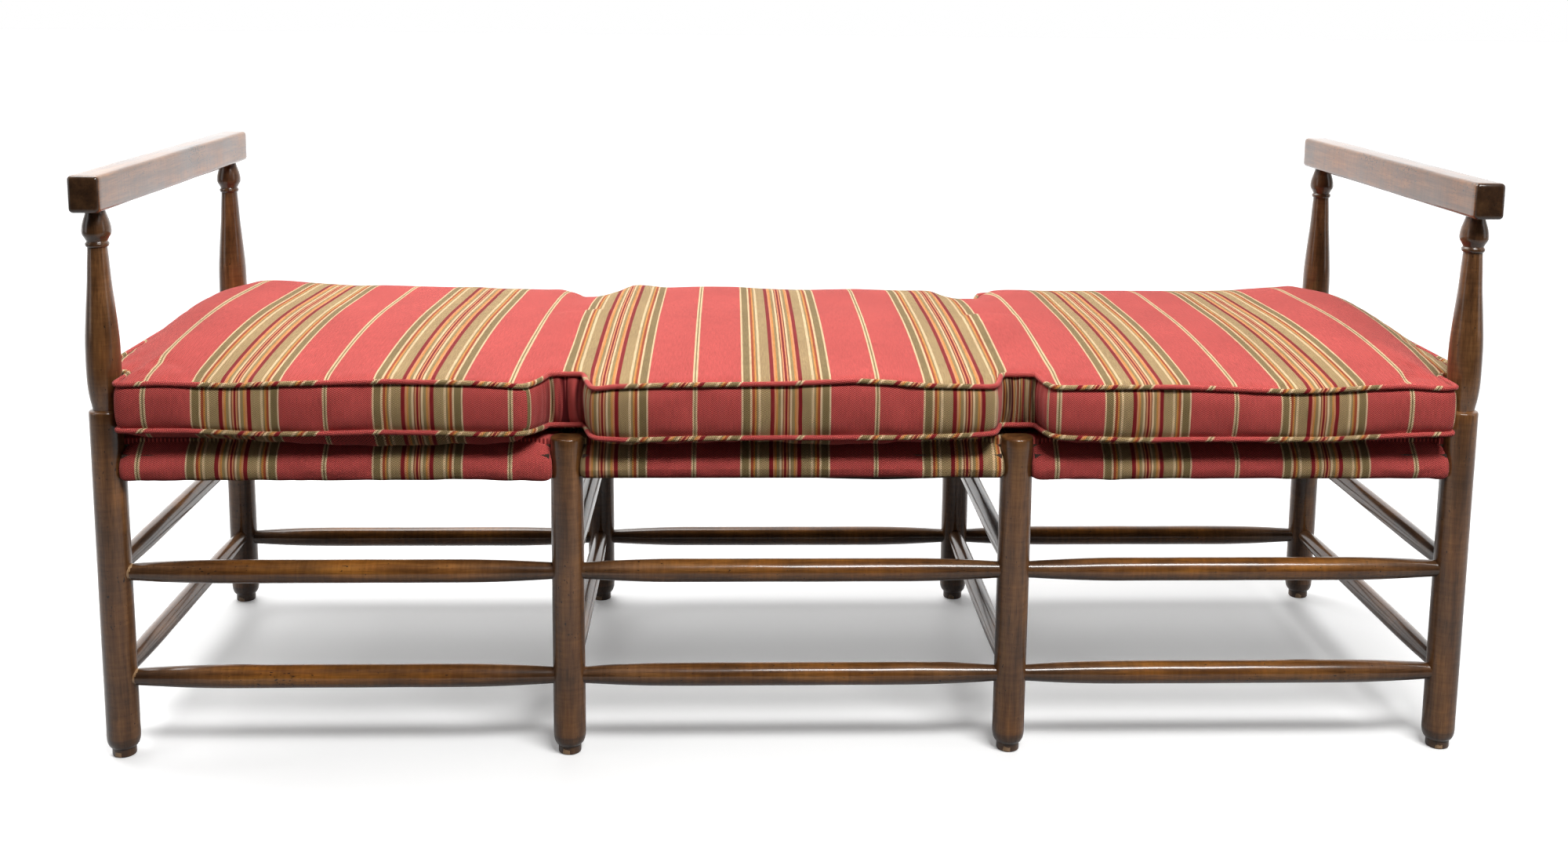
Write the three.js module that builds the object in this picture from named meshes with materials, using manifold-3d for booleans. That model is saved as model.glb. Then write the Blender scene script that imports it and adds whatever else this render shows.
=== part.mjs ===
// Hall bench: eight turned legs in three bays, tied by two tiers of tapered rungs, with an
// upholstered deck between the legs, an arm rail across each end and one long loose cushion.
//
// Millimetres, +Z up. The origin is on the floor under the middle of the bench.
// +X runs along the bench and -Y is its front.

import * as THREE from 'three';
import { mergeVertices } from 'three/addons/utils/BufferGeometryUtils.js';
import Module from 'manifold-3d';

// Driving dimensions
const legSpan = 1700; // end leg centres, left to right
const legDepth = 534; // leg centres, front to back
const bayCount = 3;
const armHeight = 746; // floor to the top of an arm rail
const deckHeight = 418; // floor to the top of the upholstered deck
const fit = 0.3; // gap between pieces that meet

// Legs and posts
const legDiameter = 41;
const footDiameter = 29.2;
const footHeight = 15; // straight part of the foot
const footSwell = 11; // height over which the foot grows into the leg
const footEdge = 2;
const legTopBevel = 3;
const shoulderRise = 34; // deck top to the shoulder where the post is turned down
const shoulderRound = 3;
const legSides = 16;

// Turned part of a post, from the shoulder up to the arm rail: shares of the leg's radius
// and shares of the turned height
const vaseShares = [
  [0.756, 0], [0.888, 0.067], [0.99, 0.2], [0.951, 0.386], [0.634, 0.735], [0.576, 0.815],
];
const collarShares = [[0.678, 0.823], [0.678, 0.833]];
const bulbShares = [[0.595, 0.846], [0.844, 0.891], [0.76, 0.94], [0.556, 1]];

// Arm rails
const armRailHeight = 45;
const armRailWidth = 37.5;
const armOverhang = 38; // past the leg centres, front and back
const armRounding = 4; // of the end edges
const armCorner = 1.5; // added to it along the long edges
const armTenonDiameter = 18;
const armTenonLength = 22;

// Rungs
const rungTenonDiameter = 21;
const longRungDiameter = 29.4;
const crossRungDiameter = 26;
const rungTaper = 117; // length over which a rung grows to its full diameter
const taperBendShare = 0.55;
const lowRungHeight = 103;
const highRungHeight = 242;
const crossRungRise = 4; // cross rungs over the long rungs
const rungSides = 10;
const mortiseWall = 0.9; // wood left between two mortises that face each other's side

// Seat frame and deck
const seatRailWidth = 28;
const seatRailHeight = 30;
const seatTenonDiameter = 18;
const boardThickness = 9;
const padThickness = 11;
const padRounding = 3;
const coverThickness = 3; // fabric and wadding turned in under a rail
const coverReturn = 10; // how far the cover runs in past the middle of a rail
const longRollReach = 26; // deck front, ahead of the leg centres
const endRollReach = 20; // deck ends, outside the leg centres
const rollEndGap = 16; // leg centre to the end of an edge roll
const rollRounding = 6;
const dustCoverThickness = 1;

// Loose cushion
const cushionFrontReach = 38; // boxing, ahead of the leg centres
const cushionEndReach = 20; // boxing, outside the end leg centres
const cushionSideGap = 4.5; // flap end to the post's side
const cushionBackGap = 10.5; // corner cut-out to the post's inner side
const cushionBoxing = 61; // height between the two welts
const cushionSink = 9; // bottom welt above the deck
const cushionCrown = 30;
const crownShoulder = 150; // distance from the edge at which the crown is full
const boxingBulge = 3;
const cornerRounding = 6;
const cutoutSlope = 3;
const notchDepth = 38; // notch in the cushion at each middle leg
const notchWidth = 42;
const notchMouth = 76;

// Overrun of a cutting shape past the face that it opens
const overrun = 5;

// Places worked out from the sizes above
const legRadius = legDiameter / 2;
const halfSpan = legSpan / 2;
const halfDepth = legDepth / 2;
const bayLength = legSpan / bayCount;
const columns = Array.from({ length: bayCount + 1 }, (_, i) => i * bayLength - halfSpan);
const rows = [{ name: 'front', side: -1 }, { name: 'back', side: 1 }];
const ends = [{ name: 'left', side: -1 }, { name: 'right', side: 1 }];
const tiers = [{ name: 'low', height: lowRungHeight }, { name: 'high', height: highRungHeight }];
const mortiseFloor = Math.max(rungTenonDiameter, seatTenonDiameter) / 2 + fit + mortiseWall;
const shoulderHeight = deckHeight + shoulderRise;
const armRailBottom = armHeight - armRailHeight;
const padBottom = deckHeight - padThickness;
const boardBottom = padBottom - fit - boardThickness;
const seatRailTop = boardBottom - fit;
const seatRailBottom = seatRailTop - seatRailHeight;
const seatRailMiddle = seatRailTop - seatRailHeight / 2;
const coverBottom = seatRailBottom - fit - coverThickness;

// Materials
const wood = new THREE.MeshStandardMaterial({ color: 0x553a26, roughness: 0.42, metalness: 0 });
const hiddenWood = new THREE.MeshStandardMaterial({ color: 0x8b6d4b, roughness: 0.7, metalness: 0 });
const plywood = new THREE.MeshStandardMaterial({ color: 0xb08d61, roughness: 0.8, metalness: 0 });
const fabric = new THREE.MeshStandardMaterial({ color: 0xa63c3f, roughness: 0.9, metalness: 0 });
const dustCloth = new THREE.MeshStandardMaterial({ color: 0x17161a, roughness: 0.95, metalness: 0 });

// Booleans
const wasm = await Module();
wasm.setup();

function toSolid(geometry) {
  const bare = geometry.clone();
  bare.deleteAttribute('normal');
  bare.deleteAttribute('uv');
  const merged = mergeVertices(bare);
  const corners = merged.index.array;
  const triangles = [];
  for (let i = 0; i < corners.length; i += 3) {
    const [a, b, c] = corners.slice(i, i + 3);
    if (a !== b && b !== c && c !== a) triangles.push(a, b, c);
  }
  return new wasm.Manifold(new wasm.Mesh({
    numProp: 3,
    vertProperties: merged.attributes.position.array,
    triVerts: new Uint32Array(triangles),
  }));
}

function toGeometry(solid) {
  const { vertProperties, triVerts } = solid.getMesh();
  const geometry = new THREE.BufferGeometry();
  geometry.setAttribute('position', new THREE.BufferAttribute(vertProperties, 3));
  geometry.setIndex(new THREE.BufferAttribute(triVerts, 1));
  geometry.computeVertexNormals();
  return geometry;
}

// Turn a shape made along Y to stand up, or to lie along X
const upright = (geometry) => geometry.rotateX(Math.PI / 2);
const lengthwise = (geometry) => geometry.rotateZ(-Math.PI / 2);

function addMesh(group, name, geometry, material, x = 0, y = 0, z = 0) {
  const mesh = new THREE.Mesh(geometry, material);
  mesh.name = name;
  mesh.position.set(x, y, z);
  group.add(mesh);
}

// A straight stick of one length, lying across or along the bench, around the origin
function stick(diameter, length, sides, across) {
  const geometry = new THREE.CylinderGeometry(diameter / 2, diameter / 2, length, sides);
  return across ? geometry : lengthwise(geometry);
}

// Foot of a leg, drawn from the floor up to the straight shaft
function drawFoot(outline) {
  const footRadius = footDiameter / 2;
  outline.moveTo(0, 0);
  outline.lineTo(footRadius - footEdge, 0);
  outline.lineTo(footRadius, footEdge);
  outline.lineTo(footRadius, footHeight);
  outline.quadraticCurveTo(legRadius, footHeight, legRadius, footHeight + footSwell);
}

function midLegOutline() {
  const outline = new THREE.Path();
  drawFoot(outline);
  outline.lineTo(legRadius, deckHeight - legTopBevel);
  outline.lineTo(legRadius - legTopBevel, deckHeight);
  outline.lineTo(0, deckHeight);
  return outline.getPoints(3);
}

// A post is a leg that runs on, above a rounded shoulder, as a vase, a collar and a bulb,
// and ends in the tenon that holds the arm rail
function postOutline() {
  const turnedHeight = armRailBottom - shoulderHeight;
  const turnedPoint = ([radiusShare, heightShare]) => new THREE.Vector2(
    legRadius * radiusShare,
    shoulderHeight + turnedHeight * heightShare,
  );
  const vase = vaseShares.map(turnedPoint);
  const collar = collarShares.map(turnedPoint);
  const bulb = bulbShares.map(turnedPoint);
  const outline = new THREE.Path();
  drawFoot(outline);
  outline.lineTo(legRadius, shoulderHeight - shoulderRound);
  outline.quadraticCurveTo(legRadius, shoulderHeight, legRadius - shoulderRound, shoulderHeight);
  outline.lineTo(vase[0].x, vase[0].y);
  outline.splineThru(vase.slice(1));
  collar.forEach((point) => outline.lineTo(point.x, point.y));
  outline.lineTo(bulb[0].x, bulb[0].y);
  outline.splineThru(bulb.slice(1));
  outline.lineTo(armTenonDiameter / 2, armRailBottom);
  outline.lineTo(armTenonDiameter / 2, armRailBottom + armTenonLength);
  outline.lineTo(0, armRailBottom + armTenonLength);
  return outline.getPoints(2);
}

// Mortises of one leg: two rungs and a seat rail come in from each side named in reaches
function boreLeg(outline, reaches) {
  const depth = legRadius + overrun - mortiseFloor;
  const middle = mortiseFloor + depth / 2;
  let leg = toSolid(upright(new THREE.LatheGeometry(outline, legSides)));
  for (const { across, side } of reaches) {
    const rungBore = stick(rungTenonDiameter + 2 * fit, depth, rungSides, across);
    const railBore = stick(seatTenonDiameter + 2 * fit, depth, rungSides, across);
    const rise = across ? crossRungRise : 0;
    const cuts = tiers.map(({ height }) => rungBore.clone().translate(0, 0, height + rise));
    cuts.push(railBore.translate(0, 0, seatRailMiddle));
    for (const cut of cuts) {
      cut.translate(across ? 0 : side * middle, across ? side * middle : 0, 0);
      leg = leg.subtract(toSolid(cut));
    }
  }
  return toGeometry(leg);
}

function makeLegs() {
  const group = new THREE.Group();
  columns.forEach((x, column) => {
    const first = column === 0;
    const last = column === bayCount;
    for (const { name, side } of rows) {
      const reaches = [{ across: true, side: -side }];
      if (!first) reaches.push({ across: false, side: -1 });
      if (!last) reaches.push({ across: false, side: 1 });
      const outline = first || last ? postOutline() : midLegOutline();
      const place = first ? 'left' : 'right';
      const node = first || last ? `post_${name}_${place}` : `mid_leg_${name}_${column}`;
      addMesh(group, node, boreLeg(outline, reaches), wood, x, side * halfDepth);
    }
  });
  return group;
}

// Half of a rung's outline, from the middle of one end to the middle of its length
function rungOutline(bodyDiameter, length) {
  const tenonRadius = rungTenonDiameter / 2;
  const tenonLength = legRadius - mortiseFloor;
  const bodyRadius = bodyDiameter / 2;
  const bend = tenonLength + rungTaper * taperBendShare;
  const half = new THREE.Path();
  half.moveTo(0, 0);
  half.lineTo(tenonRadius, 0);
  half.lineTo(tenonRadius, tenonLength);
  half.quadraticCurveTo(bodyRadius, bend, bodyRadius, tenonLength + rungTaper);
  const points = half.getPoints(2);
  const mirrored = points.map((point) => new THREE.Vector2(point.x, length - point.y)).reverse();
  return [...points, ...mirrored].map((point) => point.setY(point.y - length / 2));
}

function rungGeometry(bodyDiameter, spacing) {
  const length = spacing - 2 * (mortiseFloor + fit);
  return new THREE.LatheGeometry(rungOutline(bodyDiameter, length), rungSides);
}

function makeRungs() {
  const group = new THREE.Group();
  for (const tier of tiers) {
    for (const row of rows) {
      for (let bay = 0; bay < bayCount; bay += 1) {
        const rung = lengthwise(rungGeometry(longRungDiameter, bayLength));
        const x = columns[bay] + bayLength / 2;
        const node = `long_rung_${row.name}_${tier.name}_${bay + 1}`;
        addMesh(group, node, rung, wood, x, row.side * halfDepth, tier.height);
      }
    }
    columns.forEach((x, column) => {
      const rung = rungGeometry(crossRungDiameter, legDepth);
      const node = `cross_rung_${tier.name}_${column + 1}`;
      addMesh(group, node, rung, wood, x, 0, tier.height + crossRungRise);
    });
  }
  return group;
}

// A seat rail is square between the legs and round where it enters them
function seatRailGeometry(spacing, across) {
  const shoulder = legRadius + fit;
  const length = spacing - 2 * shoulder;
  const size = across ? [seatRailWidth, length] : [length, seatRailWidth];
  const bar = new THREE.BoxGeometry(...size, seatRailHeight);
  const tenons = stick(seatTenonDiameter, spacing - 2 * (mortiseFloor + fit), rungSides, across);
  return toGeometry(toSolid(bar).add(toSolid(tenons)));
}

function makeSeatFrame() {
  const group = new THREE.Group();
  for (const row of rows) {
    for (let bay = 0; bay < bayCount; bay += 1) {
      const x = columns[bay] + bayLength / 2;
      const rail = seatRailGeometry(bayLength, false);
      const node = `seat_rail_${row.name}_${bay + 1}`;
      addMesh(group, node, rail, hiddenWood, x, row.side * halfDepth, seatRailMiddle);
    }
  }
  columns.forEach((x, column) => {
    const rail = seatRailGeometry(legDepth, true);
    addMesh(group, `seat_cross_rail_${column + 1}`, rail, hiddenWood, x, 0, seatRailMiddle);
  });
  return group;
}

// Room for one leg, from below the seat rails to above the deck
function legRoom(x, y) {
  const bottom = coverBottom - overrun - dustCoverThickness;
  const height = deckHeight + overrun - bottom;
  const room = new THREE.CylinderGeometry(legRadius + fit, legRadius + fit, height, legSides);
  return toSolid(upright(room).translate(x, y, bottom + height / 2));
}

// Cut away what a piece of the deck shares with the legs
function clearOfLegs(geometry) {
  let solid = toSolid(geometry);
  for (const x of columns) {
    for (const { side } of rows) solid = solid.subtract(legRoom(x, side * halfDepth));
  }
  return toGeometry(solid);
}

// A flat sheet over one bay, between the middle lines of its rails
function baySheet(bay, thickness, bottom, rounding) {
  const halfLength = (bayLength - fit) / 2 - rounding;
  const halfWidth = (legDepth - fit) / 2 - rounding;
  const outline = new THREE.Shape();
  outline.moveTo(-halfLength, -halfWidth);
  outline.lineTo(halfLength, -halfWidth);
  outline.lineTo(halfLength, halfWidth);
  outline.lineTo(-halfLength, halfWidth);
  const sheet = new THREE.ExtrudeGeometry(outline, {
    depth: thickness - 2 * rounding,
    bevelEnabled: rounding > 0,
    bevelSize: rounding,
    bevelThickness: rounding,
    bevelSegments: 2,
  });
  return clearOfLegs(sheet.translate(columns[bay] + bayLength / 2, 0, bottom + rounding));
}

// Section of an edge roll, the padded cover that wraps a seat rail. The middle of the rail
// is at x = 0 and the outside is towards +x.
function rollSection(reach) {
  const railOutside = seatRailWidth / 2 + fit;
  const round = Math.min(rollRounding, reach - railOutside);
  const shape = new THREE.Shape();
  shape.moveTo(fit / 2, seatRailTop + fit);
  shape.lineTo(railOutside, seatRailTop + fit);
  shape.lineTo(railOutside, seatRailBottom - fit);
  shape.lineTo(-coverReturn, seatRailBottom - fit);
  shape.lineTo(-coverReturn, coverBottom);
  shape.lineTo(reach - round, coverBottom);
  shape.quadraticCurveTo(reach, coverBottom, reach, coverBottom + round);
  shape.lineTo(reach, deckHeight - rollRounding);
  shape.quadraticCurveTo(reach, deckHeight, reach - rollRounding, deckHeight);
  shape.lineTo(fit / 2, deckHeight);
  return shape;
}

// An edge roll between two legs, outside towards +X of its own group
function edgeRoll(reach, spacing) {
  const length = spacing - 2 * rollEndGap;
  const options = { depth: length, bevelEnabled: false, curveSegments: 3 };
  const roll = upright(new THREE.ExtrudeGeometry(rollSection(reach), options));
  return roll.translate(0, length / 2, 0);
}

function makeDeck() {
  const group = new THREE.Group();
  const dustTop = coverBottom - fit;
  for (let bay = 0; bay < bayCount; bay += 1) {
    const number = bay + 1;
    const x = columns[bay] + bayLength / 2;
    const board = baySheet(bay, boardThickness, boardBottom, 0);
    const pad = baySheet(bay, padThickness - fit, padBottom, padRounding);
    const dust = baySheet(bay, dustCoverThickness, dustTop - dustCoverThickness, 0);
    addMesh(group, `seat_board_${number}`, board, plywood);
    addMesh(group, `deck_pad_${number}`, pad, fabric);
    addMesh(group, `dust_cover_${number}`, dust, dustCloth);
    for (const { name, side } of rows) {
      const roll = edgeRoll(longRollReach, bayLength).rotateZ(side * Math.PI / 2);
      const placed = clearOfLegs(roll.translate(x, side * halfDepth, 0));
      addMesh(group, `edge_roll_${name}_${number}`, placed, fabric);
    }
  }
  for (const { name, side } of ends) {
    const roll = edgeRoll(endRollReach, legDepth).rotateZ(side > 0 ? 0 : Math.PI);
    const placed = clearOfLegs(roll.translate(side * halfSpan, 0, 0));
    addMesh(group, `edge_roll_${name}`, placed, fabric);
  }
  return group;
}

// Section of an arm rail with rounded edges, drawn smaller by the rounding of its ends
function armSection() {
  const halfWidth = armRailWidth / 2 - armRounding;
  const halfHeight = armRailHeight / 2 - armRounding;
  const shape = new THREE.Shape();
  shape.moveTo(-halfWidth + armCorner, -halfHeight);
  shape.lineTo(halfWidth - armCorner, -halfHeight);
  shape.quadraticCurveTo(halfWidth, -halfHeight, halfWidth, -halfHeight + armCorner);
  shape.lineTo(halfWidth, halfHeight - armCorner);
  shape.quadraticCurveTo(halfWidth, halfHeight, halfWidth - armCorner, halfHeight);
  shape.lineTo(-halfWidth + armCorner, halfHeight);
  shape.quadraticCurveTo(-halfWidth, halfHeight, -halfWidth, halfHeight - armCorner);
  shape.lineTo(-halfWidth, -halfHeight + armCorner);
  shape.quadraticCurveTo(-halfWidth, -halfHeight, -halfWidth + armCorner, -halfHeight);
  return shape;
}

function makeArms() {
  const group = new THREE.Group();
  const length = legDepth + 2 * armOverhang;
  for (const { name, side } of ends) {
    const bar = new THREE.ExtrudeGeometry(armSection(), {
      depth: length - 2 * armRounding,
      bevelSize: armRounding,
      bevelThickness: armRounding,
      bevelSegments: 3,
      curveSegments: 2,
    });
    let rail = toSolid(roundedAlong(bar, length));
    for (const row of rows) {
      const depth = armTenonLength + fit + overrun;
      const bore = upright(stick(armTenonDiameter + 2 * fit, depth, legSides, true));
      const z = armTenonLength + fit - depth / 2 - armRailHeight / 2;
      rail = rail.subtract(toSolid(bore.translate(0, row.side * halfDepth, z)));
    }
    const middle = armHeight - armRailHeight / 2;
    addMesh(group, `arm_rail_${name}`, toGeometry(rail), wood, side * halfSpan, 0, middle);
  }
  return group;
}

// Lay an extruded bar along Y, with its middle at the origin
function roundedAlong(bar, length) {
  return upright(bar).translate(0, length / 2 - armRounding, 0);
}

// Shares of the way from the last notch to the end of the front flap
const bayShares = [0.25, 0.52, 0.75, 0.89];

// Cushion plan: half depth of the cushion at each place along its right half
function cushionStations() {
  const full = halfDepth + cushionFrontReach;
  const tongue = halfDepth - legRadius - cushionBackGap;
  const flapEnd = halfSpan - legRadius - cushionSideGap;
  const end = halfSpan + cushionEndReach;
  const stations = [[0, full]];
  for (const leg of columns.filter((x) => x > 0 && x < halfSpan)) {
    stations.push([leg / 2, full]);
    stations.push([leg - notchMouth / 2 - cornerRounding, full]);
    stations.push([leg - notchMouth / 2, full - cornerRounding / 2]);
    stations.push([leg - notchWidth / 2, full - notchDepth]);
    stations.push([leg, full - notchDepth]);
    stations.push([leg + notchWidth / 2, full - notchDepth]);
    stations.push([leg + notchMouth / 2, full - cornerRounding / 2]);
    stations.push([leg + notchMouth / 2 + cornerRounding, full]);
  }
  const lastNotch = Math.max(...stations.map(([x]) => x));
  for (const share of bayShares) stations.push([lerp(lastNotch, flapEnd, share), full]);
  stations.push([flapEnd - cutoutSlope - cornerRounding, full]);
  stations.push([flapEnd - cutoutSlope, full - cornerRounding]);
  stations.push([flapEnd, tongue]);
  stations.push([(flapEnd + end) / 2, tongue]);
  stations.push([end - cornerRounding, tongue]);
  stations.push([end, tongue - cornerRounding]);
  return stations;
}

const lerp = (from, to, share) => from + (to - from) * share;

// Shortest distance from a point of the plan to the cushion's edge
function edgeDistance(x, y, stations) {
  const point = new THREE.Vector3(Math.abs(x), Math.abs(y), 0);
  const closest = new THREE.Vector3();
  const [endX, endHalf] = stations[stations.length - 1];
  let distance = Math.max(endX - point.x, 0);
  if (point.y > endHalf) distance = Infinity;
  for (let i = 1; i < stations.length; i += 1) {
    const from = new THREE.Vector3(...stations[i - 1], 0);
    const to = new THREE.Vector3(...stations[i], 0);
    new THREE.Line3(from, to).closestPointToPoint(point, true, closest);
    distance = Math.min(distance, closest.distanceTo(point));
  }
  return distance;
}

// Shares of the half depth at which the top and the underside have their points
const topShares = [-1, -0.94, -0.82, -0.62, -0.34, 0, 0.34, 0.62, 0.82, 0.94, 1];
const undersideShares = [1, 0.86, 0.5, 0, -0.5, -0.86, -1];

// One closed section of the cushion, across the bench at x
function cushionSection(x, half, stations) {
  const bottomWelt = deckHeight + cushionSink;
  const topWelt = bottomWelt + cushionBoxing;
  const fullness = (y) => {
    const share = Math.min(edgeDistance(x, y, stations) / crownShoulder, 1);
    return 1 - (1 - share) ** 2;
  };
  const top = topShares.map((share) => {
    const y = share * half;
    return new THREE.Vector3(x, y, topWelt + cushionCrown * fullness(y));
  });
  const underside = undersideShares.map((share) => {
    const y = share * half;
    return new THREE.Vector3(x, y, bottomWelt - (cushionSink - fit) * fullness(y));
  });
  const middle = (bottomWelt + topWelt) / 2;
  const back = new THREE.Vector3(x, half + boxingBulge, middle);
  const front = new THREE.Vector3(x, -half - boxingBulge, middle);
  return [...top, back, ...underside, front];
}

// The cushion is closed section by section along the bench, with a bulged boxing at each end
function cushionGeometry() {
  const half = cushionStations();
  const mirrored = half.slice(1).reverse().map(([x, depth]) => [-x, depth]);
  const sections = [...mirrored, ...half].map(([x, depth]) => cushionSection(x, depth, half));
  const size = sections[0].length;
  const points = sections.flat();
  const faces = [];
  for (let s = 0; s + 1 < sections.length; s += 1) {
    for (let i = 0; i < size; i += 1) {
      const a = s * size + i;
      const b = s * size + (i + 1) % size;
      faces.push(a, a + size, b, b, a + size, b + size);
    }
  }
  const tip = new THREE.Vector3(
    half[half.length - 1][0] + boxingBulge,
    0,
    deckHeight + cushionSink + cushionBoxing / 2,
  );
  points.push(tip.clone().setX(-tip.x), tip);
  const last = (sections.length - 1) * size;
  for (let i = 0; i < size; i += 1) {
    const next = (i + 1) % size;
    faces.push(points.length - 2, i, next);
    faces.push(points.length - 1, last + next, last + i);
  }
  const geometry = new THREE.BufferGeometry().setFromPoints(points);
  geometry.setIndex(faces);
  geometry.computeVertexNormals();
  return geometry;
}

function makeCushion() {
  const group = new THREE.Group();
  addMesh(group, 'cushion', cushionGeometry(), fabric);
  return group;
}

const bench = new THREE.Group();
bench.add(makeLegs(), makeRungs(), makeSeatFrame(), makeDeck(), makeArms(), makeCushion());

export default bench;
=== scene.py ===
# %% [markdown]
# A long hall bench, dressed in Blender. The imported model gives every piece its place: turned
# legs, tapered rungs, arm rails, an upholstered deck and one loose cushion. This lesson keeps
# those places and makes the surfaces: smooth turnings in stained wood, striped herringbone
# cloth over soft forms, piping sewn round the cushion's seams, and the cloth under the seat.

# %% Load the frame
import math

import bmesh
import bpy
import numpy as np
from mathutils import Matrix, Vector, noise


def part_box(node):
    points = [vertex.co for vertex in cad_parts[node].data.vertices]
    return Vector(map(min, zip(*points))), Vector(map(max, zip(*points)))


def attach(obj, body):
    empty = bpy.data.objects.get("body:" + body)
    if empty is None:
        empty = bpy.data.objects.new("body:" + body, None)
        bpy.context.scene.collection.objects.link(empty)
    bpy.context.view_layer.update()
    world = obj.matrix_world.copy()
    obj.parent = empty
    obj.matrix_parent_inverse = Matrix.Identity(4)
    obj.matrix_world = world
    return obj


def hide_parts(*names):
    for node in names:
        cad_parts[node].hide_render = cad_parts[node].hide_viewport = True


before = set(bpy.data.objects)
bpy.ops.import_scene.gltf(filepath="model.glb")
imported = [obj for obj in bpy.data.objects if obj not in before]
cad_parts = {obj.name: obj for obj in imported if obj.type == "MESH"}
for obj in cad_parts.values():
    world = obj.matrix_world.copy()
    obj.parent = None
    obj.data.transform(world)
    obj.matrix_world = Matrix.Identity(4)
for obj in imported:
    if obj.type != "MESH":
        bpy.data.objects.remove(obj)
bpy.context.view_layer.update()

MM = 0.001
noise.seed_set(5)  # vector noise takes its offsets from this seed

# %% [markdown]
# Sizes come from the CAD boxes wherever a box can say them. The middle legs give the leg's
# radius and the deck's height, the arm rail gives the top of the posts, and the rungs give
# their own ends and heights, so a change in the model carries through to the dressing.

# %% Sizes read from the frame
def corners(node):
    low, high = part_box(node)
    return np.array(low), np.array(high)


def centre(node):
    low, high = corners(node)
    return (low + high) / 2


COLUMN_NODES = ["post_front_left", "mid_leg_front_1", "mid_leg_front_2", "post_front_right"]
columns = [centre(node)[0] for node in COLUMN_NODES]
leg_low, leg_high = corners("mid_leg_front_1")
leg_radius = (leg_high[0] - leg_low[0]) / 2
deck_top = leg_high[2]
half_depth = -centre("mid_leg_front_1")[1]
arm_underside = corners("arm_rail_left")[0][2]
print("leg radius", round(leg_radius, 4), "deck top", round(deck_top, 3), "columns", np.round(columns, 3))

# %% [markdown]
# Materials are built from nodes. A short helper adds one node, sets its plain values and links
# its sockets, so that each material below reads as a list of what happens to the surface.

# %% Helpers for node trees
def add_node(tree, kind, inputs=None, **settings):
    made = tree.nodes.new(kind)
    for name, value in settings.items():
        setattr(made, name, value)
    for name, value in (inputs or {}).items():
        if isinstance(value, bpy.types.NodeSocket):
            tree.links.new(value, made.inputs[name])
        else:
            made.inputs[name].default_value = value
    return made


def calc(tree, operation, first, second=0.5, third=0.5):
    inputs = {0: first, 1: second, 2: third}
    return add_node(tree, "ShaderNodeMath", inputs, operation=operation).outputs[0]


def blend_colours(tree, share, first, second, how="MIX"):
    inputs = {0: share, 6: first, 7: second}
    made = add_node(tree, "ShaderNodeMix", inputs, data_type="RGBA", blend_type=how)
    return made.outputs[2]


def ramp(tree, share, stops, steps="LINEAR"):
    made = add_node(tree, "ShaderNodeValToRGB", {0: share})
    made.color_ramp.interpolation = steps
    elements = made.color_ramp.elements
    while len(elements) < len(stops):
        elements.new(1.0)
    for element, (place, colour) in zip(elements, stops):
        element.position = place
        element.color = (*colour, 1.0) if hasattr(colour, "__len__") else (colour,) * 3 + (1.0,)
    return made.outputs[0]


def cloudy(tree, coordinates, scale, detail=3.0, roughness=0.5):
    stretch = add_node(tree, "ShaderNodeMapping", {"Vector": coordinates, "Scale": scale})
    inputs = {"Vector": stretch.outputs[0], "Scale": 1.0, "Detail": detail, "Roughness": roughness}
    return add_node(tree, "ShaderNodeTexNoise", inputs).outputs["Fac"]


def new_material(name, **constants):
    material = bpy.data.materials.new(name)
    material.use_nodes = True
    tree = material.node_tree
    shader = tree.nodes["Principled BSDF"]
    for socket, value in constants.items():
        shader.inputs[socket.replace("_", " ")].default_value = value
    return material, tree, shader


def attribute(tree, name, part="Fac"):
    """A value that the mesh carries under this name."""
    return add_node(tree, "ShaderNodeAttribute", attribute_name=name).outputs[part]


def own_place(tree):
    return add_node(tree, "ShaderNodeTexCoord").outputs["Object"]


def below_zero(tree, value):
    """How far a value lies below zero."""
    return calc(tree, "MAXIMUM", calc(tree, "MULTIPLY", value, -1.0), 0.0)


def shaded(tree, colour, *layers):
    """Multiply a colour by layers, each a share, a pattern and the ramp it is read through."""
    for share, pattern, stops in layers:
        colour = blend_colours(tree, share, colour, ramp(tree, pattern, stops), "MULTIPLY")
    return colour


def surface(tree, shader, colour, height, strength, depth):
    """Give a shader its colour, and relief from a height."""
    tree.links.new(colour, shader.inputs["Base Color"])
    bump = add_node(tree, "ShaderNodeBump", {"Height": height, "Strength": strength, "Distance": depth})
    tree.links.new(bump.outputs[0], shader.inputs["Normal"])


# %% [markdown]
# Stained walnut is dark and streaky. The streaks run along each stick, so every wooden piece
# carries its own coordinates in an attribute called grain, with its length along Z. A second
# attribute, rub, says where the stain is rubbed thin and turns amber, and below zero where
# grime has gathered, except on the arm rails' end faces, where below zero paints shade. The
# third, wear, bares tan wood, and below zero it crazes the coat, as along the tops of the arms.
# Small dark dents lie closer together in a few bruised places.

# %% Wood material
DARK_WALNUT = [(0.25, (0.048, 0.02, 0.008)), (0.47, (0.122, 0.053, 0.02)),
               (0.62, (0.2, 0.09, 0.034)), (0.8, (0.28, 0.135, 0.052))]
AMBER_WALNUT = [(0.25, (0.11, 0.037, 0.007)), (0.5, (0.25, 0.09, 0.015)), (0.75, (0.4, 0.165, 0.03))]
BARE_WALNUT = [(0.3, (0.26, 0.14, 0.065)), (0.7, (0.5, 0.32, 0.17))]
# Grime colour, which also serves as painted shade on the arm rails' end faces.
GRIME_AND_END_SHADE = (0.011, 0.006, 0.004, 1)
DENT = (0.008, 0.005, 0.003, 1)
WOOD_RELIEF = 0.4 * MM


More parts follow.
